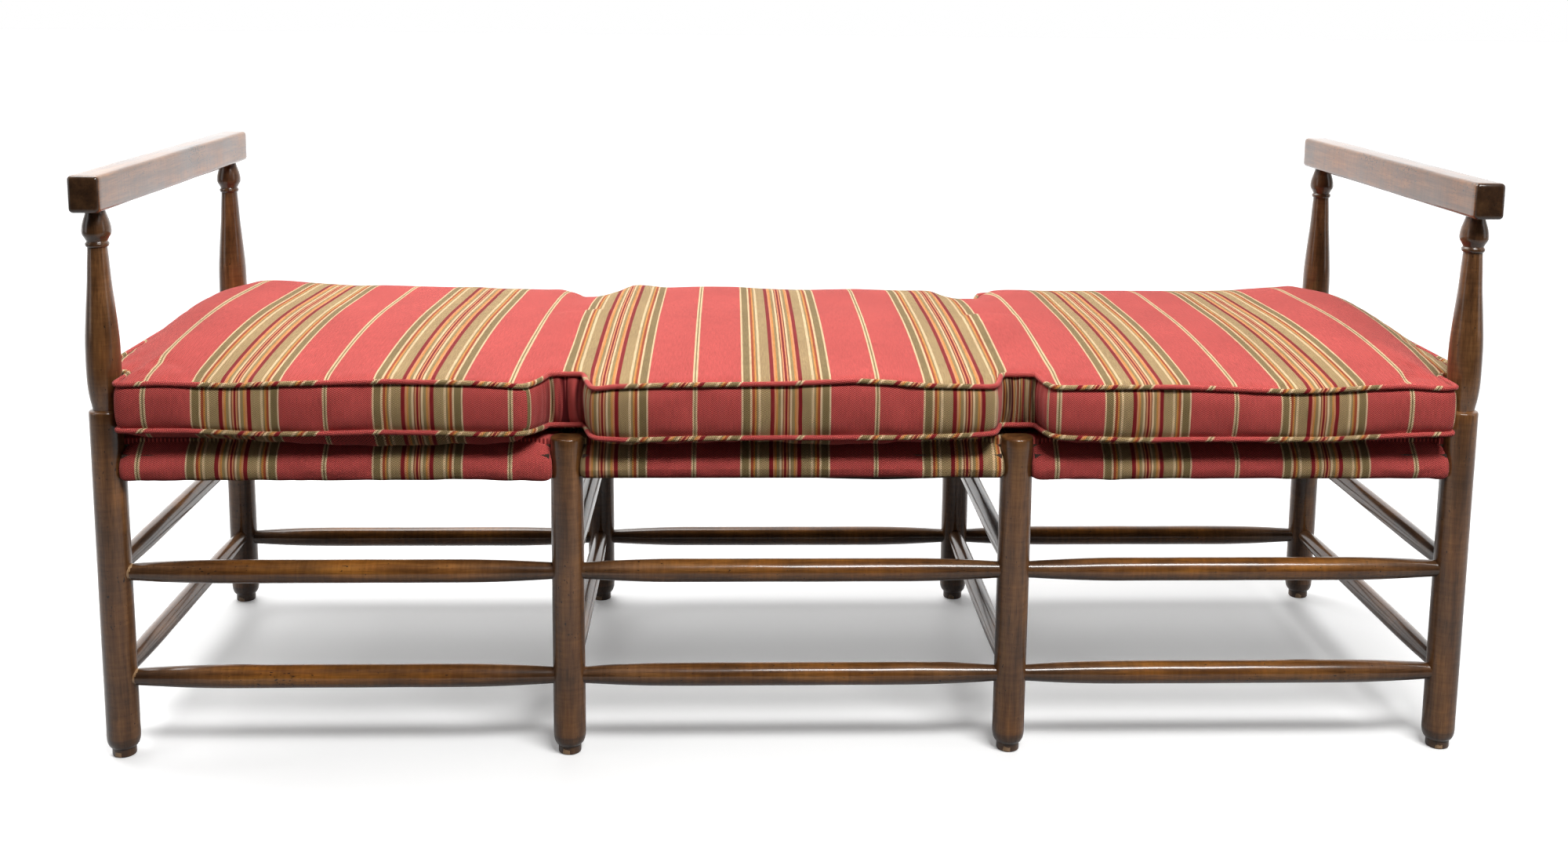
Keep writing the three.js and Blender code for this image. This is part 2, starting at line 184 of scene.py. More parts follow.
def make_wood():
    material, tree, shader = new_material("walnut_stain", Coat_Weight=0.75, Coat_Roughness=0.14,
                                          Specular_IOR_Level=0.15)
    grain = attribute(tree, "grain", "Vector")
    rub, wear = attribute(tree, "rub"), attribute(tree, "wear")
    streaks = cloudy(tree, grain, (85, 85, 6), 6.0, 0.62)
    pores = cloudy(tree, grain, (620, 620, 36), 2.0, 0.5)
    figure = cloudy(tree, grain, (26, 26, 210), 3.0, 0.6)
    blotches = cloudy(tree, grain, (16, 16, 11), 4.0, 0.6)
    speckle = cloudy(tree, grain, (380, 380, 210), 1.0, 0.3)
    scarce = cloudy(tree, grain, (31, 31, 22), 1.0, 0.3)
    chips = cloudy(tree, grain, (95, 95, 60), 2.0, 0.6)
    uneven = calc(tree, "MULTIPLY_ADD", ramp(tree, blotches, [(0.35, 0.0), (0.65, 1.0)]), 0.75, 0.35)
    thin = calc(tree, "MINIMUM", calc(tree, "MULTIPLY", calc(tree, "MAXIMUM", rub, 0.0), uneven), 1.0)
    stained = blend_colours(tree, thin, ramp(tree, streaks, DARK_WALNUT), ramp(tree, streaks, AMBER_WALNUT))
    stained = shaded(tree, stained, (1.0, blotches, [(0.25, 0.55), (0.75, 1.2)]),
                     (0.8, figure, [(0.3, 0.78), (0.7, 1.2)]), (0.7, pores, [(0.3, 0.55), (0.46, 1.0)]))
    # Below zero, rub blends to this colour: grime on legs and rungs, painted shade on the arm rails' end
    # faces.
    stained = blend_colours(tree, below_zero(tree, rub), stained, GRIME_AND_END_SHADE)
    crazed = calc(tree, "MULTIPLY", below_zero(tree, wear), 0.2)
    bruised = ramp(tree, scarce, [(0.55, 0.0), (0.75, 0.1)])
    marked = calc(tree, "ADD", speckle, calc(tree, "MAXIMUM", crazed, bruised))
    dents = ramp(tree, marked, [(0.755, 0.0), (0.785, 1.0)])
    stained = blend_colours(tree, calc(tree, "MULTIPLY", dents, 0.8), stained, DENT)
    bare = ramp(tree, calc(tree, "ADD", wear, calc(tree, "MULTIPLY", chips, 0.9)), [(0.86, 0.0), (0.96, 1.0)])
    colour = blend_colours(tree, bare, stained, ramp(tree, streaks, BARE_WALNUT))
    relief = calc(tree, "SUBTRACT", calc(tree, "MULTIPLY", streaks, 0.35), dents)
    surface(tree, shader, colour, relief, 0.5, WOOD_RELIEF)
    tree.links.new(ramp(tree, blotches, [(0.3, 0.3), (0.7, 0.44)]), shader.inputs["Roughness"])
    return material


walnut = make_wood()
print("made", walnut.name)

# %% [markdown]
# The cloth is a striped herringbone. Its stripes repeat every 228 mm and each wide band is a
# mirror image about its middle, so one list of colours by distance from that middle is enough:
# a ping-pong of the coordinate folds the cloth onto it. The herringbone is a fine ridge that
# zigzags from column to column, and it gives every stripe its saw-toothed edge.

# %% Cloth colours and the stripe plan
STRIPE_REPEAT = 228 * MM
BAND_MIDDLE = -10 * MM
RED = (0.43, 0.07, 0.066)
DEEP_RED = (0.2, 0.014, 0.018)
CREAM = (0.58, 0.43, 0.27)
OLIVE = (0.2, 0.144, 0.068)
TAUPE = (0.32, 0.225, 0.115)
ORANGE = (0.5, 0.22, 0.06)
SALMON = (0.55, 0.24, 0.12)
RUST = (0.29, 0.06, 0.026)
BROWN = (0.16, 0.05, 0.025)
SAND = (0.26, 0.185, 0.09)
STRIPES = [
    (0.0, DEEP_RED), (1.0, SALMON), (2.8, BROWN), (4.3, CREAM), (6.7, SAND), (10.6, ORANGE), (12.6, SALMON),
    (15.0, DEEP_RED), (19.9, TAUPE), (32.0, CREAM), (35.0, SAND), (37.3, ORANGE), (39.6, RUST),
    (42.4, CREAM), (45.3, OLIVE), (53.6, CREAM), (56.0, RED), (110.8, CREAM), (112.9, OLIVE),
]
WEAVE_COLUMN = 2.5 * MM
WEAVE_PITCH = 2.3 * MM
SAW_TOOTH = 0.55 * MM
THREAD_LIGHT = (1.62, 1.74, 1.58, 1.0)
BETWEEN_RIDGES = (0.2, 0.09, 0.12)
# Painted shade for the creases of the gathered folds in the notches.
FOLD_SHADE = (0.18, 0.09, 0.12)


def weave_cloth(tree, shader, across, along):
    zigzag = calc(tree, "PINGPONG", calc(tree, "DIVIDE", across, WEAVE_COLUMN), 1.0)
    picks = calc(tree, "DIVIDE", along, WEAVE_PITCH)
    climb = calc(tree, "MULTIPLY_ADD", zigzag, WEAVE_COLUMN / WEAVE_PITCH, picks)
    ridge = calc(tree, "SINE", calc(tree, "MULTIPLY", climb, math.tau))
    tooth = calc(tree, "PINGPONG", calc(tree, "DIVIDE", along, WEAVE_PITCH / 2), 1.0)
    shifted = calc(tree, "MULTIPLY_ADD", tooth, SAW_TOOTH, across)
    half_repeat = STRIPE_REPEAT / 2
    folded = calc(tree, "PINGPONG", calc(tree, "SUBTRACT", shifted, BAND_MIDDLE), half_repeat)
    stops = [(place * MM / half_repeat, colour) for place, colour in STRIPES]
    dyed = ramp(tree, calc(tree, "DIVIDE", folded, half_repeat), stops, "CONSTANT")
    place = add_node(tree, "ShaderNodeCombineXYZ", {0: across, 1: along}).outputs[0]
    yarns = cloudy(tree, place, (900, 60, 1), 2.0, 0.6)
    patches = cloudy(tree, place, (12, 9, 1), 2.0, 0.5)
    # Upright fold lines for the notches, read through painted shade in the creases of the gathers.
    fold_shade_lines = cloudy(tree, place, (170, 8, 1), 1.0, 0.4)
    colour = shaded(tree, blend_colours(tree, 1.0, dyed, THREAD_LIGHT, "MULTIPLY"),
                    (1.0, calc(tree, "MULTIPLY_ADD", ridge, 0.5, 0.5), [(0.35, BETWEEN_RIDGES), (0.65, 1.0)]),
                    (1.0, yarns, [(0.3, 0.82), (0.7, 1.18)]), (1.0, patches, [(0.3, 0.93), (0.7, 1.07)]),
                    (attribute(tree, "gathered"), fold_shade_lines, [(0.4, FOLD_SHADE), (0.58, 1.0)]))
    surface(tree, shader, colour, calc(tree, "MULTIPLY_ADD", yarns, 0.5, ridge), 0.5, 0.25 * MM)


CLOTH_FINISH = dict(Roughness=0.9, Sheen_Weight=0.12, Sheen_Roughness=0.4, Specular_IOR_Level=0.12)


def make_stripe_cloth():
    material, tree, shader = new_material("striped_herringbone", **CLOTH_FINISH)
    shader.inputs["Sheen Tint"].default_value = (1.0, 0.82, 0.76, 1.0)
    cloth = add_node(tree, "ShaderNodeUVMap", uv_map="cloth").outputs[0]
    across, along, _ = add_node(tree, "ShaderNodeSeparateXYZ", {0: cloth}).outputs
    weave_cloth(tree, shader, across, along)
    return material


# The piping is a strip of the same cloth cut on the slant: the stripes wind round the cord.
PIPING_RADIUS = 3.3 * MM
SLANT_RUN = 0.8
SLANT_TURN = 0.6


def make_piping_cloth():
    material, tree, shader = new_material("slant_cut_piping", **CLOTH_FINISH)
    run = attribute(tree, "run")
    turn = calc(tree, "ARCTAN2", attribute(tree, "turn_sine"), attribute(tree, "turn_cosine"))
    girth = calc(tree, "MULTIPLY", turn, PIPING_RADIUS)
    across = calc(tree, "MULTIPLY_ADD", girth, SLANT_TURN, calc(tree, "MULTIPLY", run, SLANT_RUN))
    along = calc(tree, "MULTIPLY_ADD", girth, SLANT_RUN, calc(tree, "MULTIPLY", run, -SLANT_TURN))
    weave_cloth(tree, shader, across, along)
    return material


stripe_cloth = make_stripe_cloth()
piping_cloth = make_piping_cloth()
print("made", stripe_cloth.name, "and", piping_cloth.name)

# %% [markdown]
# The hidden seat frame and its boards are plain timber coloured near black as painted shade, so
# that what shows of them beside the rolls reads as shadow. They keep their CAD meshes and read
# Object coordinates: rails along the bench have their grain along X, cross rails along Y. The
# cloth under the seat is thin black cambric, and its staples are bright wire.

# %% Plain materials
def make_timber(name, pale, dark, stretch):
    material, tree, shader = new_material(name, Roughness=0.68)
    streaks = cloudy(tree, own_place(tree), stretch, 5.0, 0.6)
    surface(tree, shader, ramp(tree, streaks, [(0.3, dark), (0.7, pale)]), streaks, 0.3, 0.3 * MM)
    return material


def make_cambric():
    material, tree, shader = new_material("black_cambric", Roughness=0.92, Sheen_Weight=0.2)
    threads = {"Vector": own_place(tree), "Scale": 330.0}
    weft, warp = (add_node(tree, "ShaderNodeTexWave", threads, bands_direction=way).outputs[1]
                  for way in "XY")
    weave = calc(tree, "MULTIPLY", weft, warp)
    colour = ramp(tree, weave, [(0.0, (0.006, 0.006, 0.007)), (1.0, (0.022, 0.021, 0.024))])
    surface(tree, shader, colour, weave, 0.3, 0.1 * MM)
    return material


def make_staple_wire():
    material, tree, shader = new_material("staple_wire", Metallic=1.0)
    dull = cloudy(tree, own_place(tree), (900, 900, 900), 2.0, 0.5)
    tree.links.new(ramp(tree, dull, [(0.3, 0.28), (0.7, 0.5)]), shader.inputs["Roughness"])
    tree.links.new(ramp(tree, dull, [(0.3, 0.42), (0.7, 0.66)]), shader.inputs["Base Color"])
    return material


# Painted shade: the frame timber and the boards are darkened so that glimpses of them read as shadow.
TIMBER_SHADE_PALE, TIMBER_SHADE_DARK = (0.06, 0.03, 0.016), (0.03, 0.014, 0.008)
timber_along = make_timber("shade_dark_timber_along", TIMBER_SHADE_PALE, TIMBER_SHADE_DARK, (4, 110, 110))
timber_across = make_timber("shade_dark_timber_across", TIMBER_SHADE_PALE, TIMBER_SHADE_DARK, (110, 4, 110))
board_wood = make_timber("shade_dark_board_ply", (0.1, 0.062, 0.036), (0.06, 0.034, 0.02), (3, 60, 60))
cambric = make_cambric()
staple_wire = make_staple_wire()

# %% [markdown]
# A turning is one outline spun round its axis. Forty-eight sides and many rings make it
# smooth (a rung has forty), and a little slow noise on the radius keeps it from looking
# machined. The outline is a list of radius and height; smooth stretches come from a curve
# through a few chosen points, and steps are left as steps.

# %% Helpers for turned pieces
TURNING_SIDES = 48
HAND_WAVER = 0.22 * MM
WAVER_ROUND, WAVER_ALONG = 1.3, 16
CREASE_ANGLE = 40
scene = bpy.context.scene


def show(name, data):
    """Put a mesh, a lamp or a camera into the scene."""
    made = bpy.data.objects.new(name, data)
    scene.collection.objects.link(made)
    return made


def mesh_piece(name, vertices, faces, material, smooth_angle=None):
    mesh = bpy.data.meshes.new(name)
    mesh.from_pydata([tuple(v) for v in vertices], [], faces)
    mesh.materials.append(material)
    mesh.shade_smooth()
    if smooth_angle is not None:
        mesh.set_sharp_from_angle(angle=math.radians(smooth_angle))
    return show(name, mesh)


def tube_faces(rings, count):
    """Faces between rings of count points each, joined all the way round."""
    return [(i * count + j, i * count + k, (i + 1) * count + k, (i + 1) * count + j)
            for i in range(rings - 1) for j, k in zip(range(count), [*range(1, count), 0])]


def point_value(mesh, name, values, kind="FLOAT"):
    attribute = mesh.attributes.new(name, kind, "POINT")
    field = "vector" if kind == "FLOAT_VECTOR" else "value"
    attribute.data.foreach_set(field, np.asarray(values, dtype=np.float32).ravel())


def through(points, steps):
    """A smooth curve through the points, as a list of points."""
    points = np.array(points, float)
    padded = np.vstack([2 * points[0] - points[1], points, 2 * points[-1] - points[-2]])
    out = []
    for i in range(1, len(padded) - 2):
        before, start, end, after = padded[i - 1:i + 3]
        for t in np.linspace(0, 1, steps, endpoint=False):
            out.append(0.5 * (2 * start + (end - before) * t
                              + (2 * before - 5 * start + 4 * end - after) * t ** 2
                              + (3 * start - before - 3 * end + after) * t ** 3))
    out.append(points[-1])
    return [tuple(p) for p in out]


def arc(corner, start, end, steps=5):
    """A rounded corner from start to end, pulled towards the corner point."""
    corner, start, end = (np.array(p, float) for p in (corner, start, end))
    shares = np.linspace(0, 1, steps + 1)
    return [tuple((1 - t) ** 2 * start + 2 * t * (1 - t) * corner + t ** 2 * end) for t in shares]


piece_count = 0


def next_seed():
    """Every wooden piece reads its own part of the noise."""
    global piece_count
    piece_count += 1
    return 7.31 * piece_count


def turning(name, outline, axis, place, rub, wear, sides=TURNING_SIDES):
    """Spin an outline of (radius, height) pairs about X, Y or Z, through place."""
    seed = next_seed()
    rings = [(r, h) for r, h in outline if r > 1e-6]
    local = []
    for r, h in rings:
        for a in np.arange(sides) * math.tau / sides:
            x, y = math.cos(a), math.sin(a)
            waver = HAND_WAVER * noise.noise((x * WAVER_ROUND + seed, y * WAVER_ROUND, h * WAVER_ALONG))
            local.append(((r + waver) * x, (r + waver) * y, h))
    local += [(0, 0, outline[0][1]), (0, 0, outline[-1][1])]
    local = np.array(local)
    faces = tube_faces(len(rings), sides)
    last = (len(rings) - 1) * sides
    for j in range(sides):
        k = (j + 1) % sides
        faces.append((len(local) - 2, k, j))
        faces.append((len(local) - 1, last + j, last + k))
    order = {"x": [2, 0, 1], "y": [1, 2, 0], "z": [0, 1, 2]}[axis]
    piece = mesh_piece(name, local[:, order] + place, faces, walnut, CREASE_ANGLE)
    point_value(piece.data, "grain", local + np.array([seed, -seed, 3 * seed]), "FLOAT_VECTOR")
    point_value(piece.data, "rub", [rub(p) for p in local])
    point_value(piece.data, "wear", [wear(p) for p in local])
    return piece


# %% [markdown]
# All eight legs start alike: a short foot, a curve out to the shaft, and the shaft. A middle
# leg stops at the deck with a small bevel. An end leg runs on above a rounded shoulder as a
# vase, a thin collar and a bulb, up to the arm rail. The shares below are the CAD outline's.

# %% Legs and posts
FOOT_RADIUS = 14.6 * MM
FOOT_EDGE = 2.5 * MM
FOOT_TOP = 14 * MM
SHAFT_START = 27 * MM
SHAFT_RINGS = 40
TOP_BEVEL = 3.5 * MM
SHOULDER_RISE = 34 * MM
SHOULDER_ROUND = 3.5 * MM
VASE = [(0.756, 0.004), (0.8, 0.025), (0.9, 0.07), (0.975, 0.13), (1.0, 0.2), (0.992, 0.3), (0.951, 0.386),
        (0.8, 0.542), (0.7, 0.64), (0.634, 0.735), (0.582, 0.8), (0.576, 0.817)]
COLLAR = [(0.64, 0.82), (0.678, 0.826), (0.684, 0.83), (0.678, 0.836), (0.62, 0.841)]
BULB = [(0.6, 0.846), (0.7, 0.862), (0.81, 0.878), (0.846, 0.893), (0.825, 0.915), (0.76, 0.94),
        (0.65, 0.968), (0.575, 0.988), (0.556, 1.0)]
VASE_END, COLLAR_START = 0.8, 0.815
JOINT_GRIME, COLLAR_GRIME = -0.35, -0.25
WORN_FOOT = 3.5 * MM
LEAST_RUB, STRIP_RUB, VASE_RUB = 0.12, 0.25, 0.4
STRIPS, STRIP_TWIST = 3, 9


def foot_outline():
    outline = [(0, 0)]
    outline += arc((FOOT_RADIUS, 0), (FOOT_RADIUS - FOOT_EDGE, 0), (FOOT_RADIUS, FOOT_EDGE), 4)
    outline += arc((leg_radius, FOOT_TOP), (FOOT_RADIUS, FOOT_TOP - 3 * MM), (leg_radius, SHAFT_START), 8)
    return outline


def shaft(start, end):
    return [(leg_radius, h) for h in np.linspace(start, end, SHAFT_RINGS)[1:]]


def mid_leg_outline():
    top = deck_top - TOP_BEVEL
    outline = foot_outline() + shaft(SHAFT_START, top)
    outline += arc((leg_radius, deck_top), (leg_radius, top), (leg_radius - TOP_BEVEL, deck_top), 4)[1:]
    return outline + [(0, deck_top)]


def post_outline():
    shoulder = deck_top + SHOULDER_RISE
    edge = shoulder - SHOULDER_ROUND
    outline = foot_outline() + shaft(SHAFT_START, edge)
    outline += arc((leg_radius, shoulder), (leg_radius, edge), (leg_radius - SHOULDER_ROUND, shoulder), 5)[1:]
    for shares, steps in ((VASE, 5), (COLLAR, 3), (BULB, 5)):
        heights = [(r * leg_radius, shoulder + h * (arm_underside - shoulder)) for r, h in shares]
        outline += through(heights, steps)
    return outline + [(0, arm_underside + 2 * MM)]


def leg_wear(p):
    """Patches of the foot's rim are worn bare."""
    patch = noise.noise((p[0] * 45 + 3, p[1] * 45, 5.0))
    return 1.0 if p[2] < WORN_FOOT and patch > 0.12 else 0.0


def leg_rub(p):
    """Stain worn in uneven upright strips, less so up the vase, with grime on foot, collar and bulb."""
    share = (p[2] - deck_top - SHOULDER_RISE) / (arm_underside - deck_top - SHOULDER_RISE)
    if p[2] < SHAFT_START or share > COLLAR_START:
        return JOINT_GRIME
    if share >= VASE_END:
        return COLLAR_GRIME
    strip = 0.5 + 0.5 * math.sin(STRIPS * math.atan2(p[1], p[0]) + STRIP_TWIST * p[2])
    return LEAST_RUB + STRIP_RUB * strip - VASE_RUB * max(0.0, share)


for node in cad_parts:
    if node.startswith(("post_", "mid_leg_")):
        outline = post_outline() if node.startswith("post_") else mid_leg_outline()
        place = centre(node) * (1, 1, 0)
        leg = turning(node.replace("post", "turned_post").replace("mid_leg", "turned_leg"),
                      outline, "z", place, leg_rub, leg_wear)
        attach(leg, "frame")
        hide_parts(node)
print("legs made:", piece_count)

# %% [markdown]
# A rung is thin where it enters a leg and swells to full thickness over about 117 mm. The CAD
# box of each rung gives its two ends and its full thickness. The stain is darkest at the
# joints and rubbed to amber halfway along. Two front rungs have worked a little way out of
# their leg, which bares a pale ring at the joint.

# %% Rungs
RUNG_END_RADIUS = 10.6 * MM
RUNG_TAPER = 117 * MM
RUNG_SWELL = 1.8
RUNG_RINGS = 60
RUNG_SIDES = 40
JOINT_DARK = 70 * MM
JOINT_RINGS_REACH = 32 * MM
JOINT_RING_STEP = 1.3 * MM
BARE_WIDTH = 3.2 * MM
BARE_JOINTS = ("long_rung_front_low_1", "long_rung_front_high_1")


def rung_outline(length, body_radius, tenon):
    near = np.arange(0, JOINT_RINGS_REACH, JOINT_RING_STEP)
    along = np.linspace(JOINT_RINGS_REACH, length - JOINT_RINGS_REACH, RUNG_RINGS)
    heights = np.concatenate([near, along, (length - near)[::-1]]) - length / 2
    outline = [(0, -length / 2)]
    for h in heights:
        share = min(1.0, max(0.0, (length / 2 - abs(h) - tenon) / RUNG_TAPER))
        swell = 1 - (1 - share) ** RUNG_SWELL
        outline.append((RUNG_END_RADIUS + (body_radius - RUNG_END_RADIUS) * swell, h))
    return outline + [(0, length / 2)]


def rung_rub(half):
    def rub(p):
        inside = (half - abs(p[2]) - leg_radius) / (JOINT_DARK * 2)
        return min(1.0, max(JOINT_GRIME, inside * (1 - JOINT_GRIME) + JOINT_GRIME))
    return rub


def rung_wear(half, axis_gap, bare_joint):
    """A pale ring of bare wood where the rung comes out of the round of the leg."""
    def wear(p):
        leg_surface = math.sqrt(leg_radius ** 2 - min(leg_radius, abs(p[0])) ** 2)
        return 1.0 if bare_joint and p[2] + half + axis_gap < leg_surface + BARE_WIDTH else 0.0
    return wear


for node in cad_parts:
    if node.startswith(("long_rung_", "cross_rung_")):
        low, high = corners(node)
        along = 0 if node.startswith("long_") else 1
        length = (high - low)[along]
        outline = rung_outline(length, (high - low)[2] / 2, leg_radius / 2)
        wear = rung_wear(length / 2, low[0] - columns[0], node in BARE_JOINTS)
        rung = turning(f"turned_{node}", outline, "xy"[along], (low + high) / 2,
                       rung_rub(length / 2), wear, RUNG_SIDES)
        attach(rung, "frame")
        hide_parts(node)
print("turned pieces made:", piece_count)

# %% [markdown]
# The arm rails are sawn, not turned: a bar with every edge rounded over. It is cut into short
# lengths first so that a slow noise can take the ruler-straightness out of it. The stain is
# rubbed a little amber along the inner edges, the end faces are darkened with painted shade,
# and here and there the coat is crazed along the top of the inner face, where hands and coats rub.

# %% Arm rails
ARM_ROUND = 5.5 * MM
ARM_LENGTHS = 48
ARM_WAVER = 0.5 * MM
# The last value paints shade on the rails' end faces.
ARM_RUB, ARM_EDGE_RUB, ARM_END_SHADE = 0.2, 0.3, -0.7
CRAZED_FROM, CRAZED_OVER = 0.72, 0.2


def arm_form(name, size):
    shape = bmesh.new()
    bmesh.ops.create_cube(shape, size=1.0)
    bmesh.ops.scale(shape, vec=size, verts=shape.verts)
    bmesh.ops.bevel(shape, geom=shape.edges[:], offset=ARM_ROUND, segments=5, affect="EDGES", profile=0.5)
    for i in range(1, ARM_LENGTHS):
        cut = -size[1] / 2 + size[1] * i / ARM_LENGTHS
        geometry = shape.verts[:] + shape.edges[:] + shape.faces[:]
        bmesh.ops.bisect_plane(shape, geom=geometry, plane_co=(0, cut, 0), plane_no=(0, 1, 0))
    mesh = bpy.data.meshes.new(name)
    shape.to_mesh(mesh)
    shape.free()
    return mesh


def arm_rail(name, node, inward):
    seed = next_seed()
    low, high = corners(node)
    size = high - low
    mesh = arm_form(name, size)
    local = np.array([v.co for v in mesh.vertices])
    for vertex, p in zip(mesh.vertices, local):
        waver = noise.noise_vector((p[0] * 20 + seed, p[1] * 14, p[2] * 20)) * ARM_WAVER
        vertex.co = Vector(p + (low + high) / 2) + waver
    mesh.materials.append(walnut)
    mesh.shade_smooth()
    edge = np.minimum(size[0] / 2 - abs(local[:, 0]), size[2] / 2 - abs(local[:, 2]))
    inner = np.clip(inward * local[:, 0] / (size[0] / 2), 0, 1)
    at_end = np.abs(local[:, 1]) > size[1] / 2 - ARM_ROUND * 0.6
    # Painted shade: the end faces take a negative rub, which darkens them.
    rub = np.where(at_end, ARM_END_SHADE, ARM_RUB + ARM_EDGE_RUB * inner * (edge < ARM_ROUND))
    height = local[:, 2] / size[2] + 0.5
    handled = np.array([max(0.0, noise.noise((0.0, y * 9 + seed, 1.0)) * 3 + 0.35) for y in local[:, 1]])
    point_value(mesh, "grain", local[:, [0, 2, 1]] + np.array([seed, seed, -2 * seed]), "FLOAT_VECTOR")
    point_value(mesh, "rub", rub)
    point_value(mesh, "wear", -inner * np.clip((height - CRAZED_FROM) / CRAZED_OVER, 0, 1) * handled)
    piece = show(name, mesh)
    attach(piece, "frame")
    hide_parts(node)


arm_rail("rounded_arm_left", "arm_rail_left", 1)
arm_rail("rounded_arm_right", "arm_rail_right", -1)

# %% [markdown]
# Soft pieces are puffed with Blender's cloth simulation. The form is built a little slack,
# its sewn edges are pinned, and air pressure fills it for twenty frames. Each point's travel
# is then capped, so the piece swells and creases without leaving its place.

# %% Puffing with a cloth simulation
PUFF_FRAMES = 20
CLOTH_SETTINGS = dict(quality=5, mass=0.3, tension_stiffness=20, compression_stiffness=20, shear_stiffness=8,
                      bending_stiffness=0.3, vertex_group_mass="sewn", use_pressure=True)


def read_points(mesh):
    points = np.empty(len(mesh.vertices) * 3, dtype=np.float32)
    mesh.vertices.foreach_get("co", points)
    return points.reshape(-1, 3).astype(float)


def write_points(mesh, points):
    mesh.vertices.foreach_set("co", np.asarray(points, dtype=np.float32).ravel())
    mesh.update()


def puff(piece, sewn, cap, pressure=4.0, slack=0.02):
    """Blow a piece up between its sewn points, moving no point further than its cap."""
    group = piece.vertex_groups.new(name="sewn")
    group.add([int(i) for i in sewn], 1.0, "REPLACE")
    cloth = piece.modifiers.new("Puff", "CLOTH")
    for setting, value in CLOTH_SETTINGS.items():
        setattr(cloth.settings, setting, value)
    cloth.settings.uniform_pressure_force = pressure
    cloth.settings.shrink_min = -slack
    cloth.settings.effector_weights.gravity = 0
    cloth.point_cache.frame_start = 1
    cloth.point_cache.frame_end = PUFF_FRAMES
    for number in range(1, PUFF_FRAMES + 1):
        scene.frame_set(number)
    evaluated = piece.evaluated_get(bpy.context.evaluated_depsgraph_get())
    after = read_points(evaluated.data)
    before = read_points(piece.data)
    piece.modifiers.remove(cloth)
    scene.frame_set(1)
    travel = after - before
    distance = np.linalg.norm(travel, axis=1)
    held = np.minimum(distance, cap) / np.maximum(distance, 1e-9)
    write_points(piece.data, before + travel * held[:, None])
    print(piece.name, "puffed by up to", round(float((distance * held).max()) / MM, 1), "mm")


# %% [markdown]
# The cushion is one long box cushion: a top and a bottom panel joined by an upright strip, the
# boxing. Its plan is a grid with the corner cut-outs and the four notches left out, so the
# sewn edges fall on grid lines. The plan's edge is smoothed to round the corners, the panels
# get a crown that falls away towards every edge, and the boxing closes the sides.

# %% Cushion plan
CELL = 10.5 * MM
NOTCH_CELL = 3.4 * MM
FLAP_END = 825 * MM
CUSHION_END = 870 * MM
CUSHION_FRONT = 305 * MM
TONGUE = 236 * MM
NOTCH_FLOOR = 259 * MM
NOTCH_INNER = 260 * MM
NOTCH_OUTER = 308 * MM
NOTCH_MIDDLE = (NOTCH_INNER + NOTCH_OUTER) / 2
INNER_FLARE = 14 * MM
OUTER_FLARE = {-1: 26 * MM, 1: 12 * MM}
FLARE_REACH = 55 * MM
FLARE_CURVE = 1.3
EDGE_PASSES, SETTLE_PASSES = 2, 10


def ticks(marks, *steps):
    """Places from mark to mark, spaced by the step given for each stretch (the last one repeats)."""
    out = [marks[0]]
    for i, (a, b) in enumerate(zip(marks, marks[1:])):
        count = max(1, round((b - a) / steps[min(i, len(steps) - 1)]))
        out += [a + (b - a) * k / count for k in range(1, count + 1)]
    return np.array(out)


def cushion_cells():
    half_marks = [NOTCH_INNER, NOTCH_OUTER, FLAP_END, CUSHION_END]
    xs = ticks([-m for m in half_marks[::-1]] + half_marks, CELL, CELL, NOTCH_CELL, CELL, NOTCH_CELL, CELL)
    ys = ticks([-CUSHION_FRONT, -NOTCH_FLOOR, -TONGUE, TONGUE, NOTCH_FLOOR, CUSHION_FRONT],
               NOTCH_CELL * 1.5, CELL, CELL, CELL, NOTCH_CELL * 1.5)
    index = {}
    points = []
    cells = []

    def vertex(i, j):
        if (i, j) not in index:
            index[i, j] = len(points)
            points.append((xs[i], ys[j]))
        return index[i, j]

    for i in range(len(xs) - 1):
        for j in range(len(ys) - 1):
            x, y = abs(xs[i] + xs[i + 1]) / 2, abs(ys[j] + ys[j + 1]) / 2
            cut_corner = x > FLAP_END and y > TONGUE
            notched = NOTCH_INNER < x < NOTCH_OUTER and y > NOTCH_FLOOR
            if not cut_corner and not notched:
                cells.append((vertex(i, j), vertex(i + 1, j), vertex(i + 1, j + 1), vertex(i, j + 1)))
    return np.array(points), cells


def cell_sides(cells):
    return {(a, b) for cell in cells for a, b in zip(cell, cell[1:] + cell[:1])}


def outline_ring(cells):
    """The edge of the plan, as an ordered ring of point numbers."""
    sides = cell_sides(cells)
    follows = {a: b for a, b in sides if (b, a) not in sides}
    start = min(follows)
    ring = [start]
    while follows[ring[-1]] != start:
        ring.append(follows[ring[-1]])
    return np.array(ring)


def flare_notches(plan):
    """The flanks of a notch open towards its mouth, the outer flank more than the inner one."""
    depth = np.clip((np.abs(plan[:, 1]) - NOTCH_FLOOR) / (CUSHION_FRONT - NOTCH_FLOOR), 0, 1)
    across = np.abs(plan[:, 0])
    side = np.sign(plan[:, 0])
    inner = np.clip(1 - (NOTCH_INNER - across) / FLARE_REACH, 0, 1) * (across <= NOTCH_INNER + 1e-6)
    outer = np.clip(1 - (across - NOTCH_OUTER) / FLARE_REACH, 0, 1) * (across >= NOTCH_OUTER - 1e-6)
    outer_flare = np.where(side < 0, OUTER_FLARE[-1], OUTER_FLARE[1])
    plan[:, 0] += side * (outer * outer_flare - inner * INNER_FLARE) * depth ** FLARE_CURVE


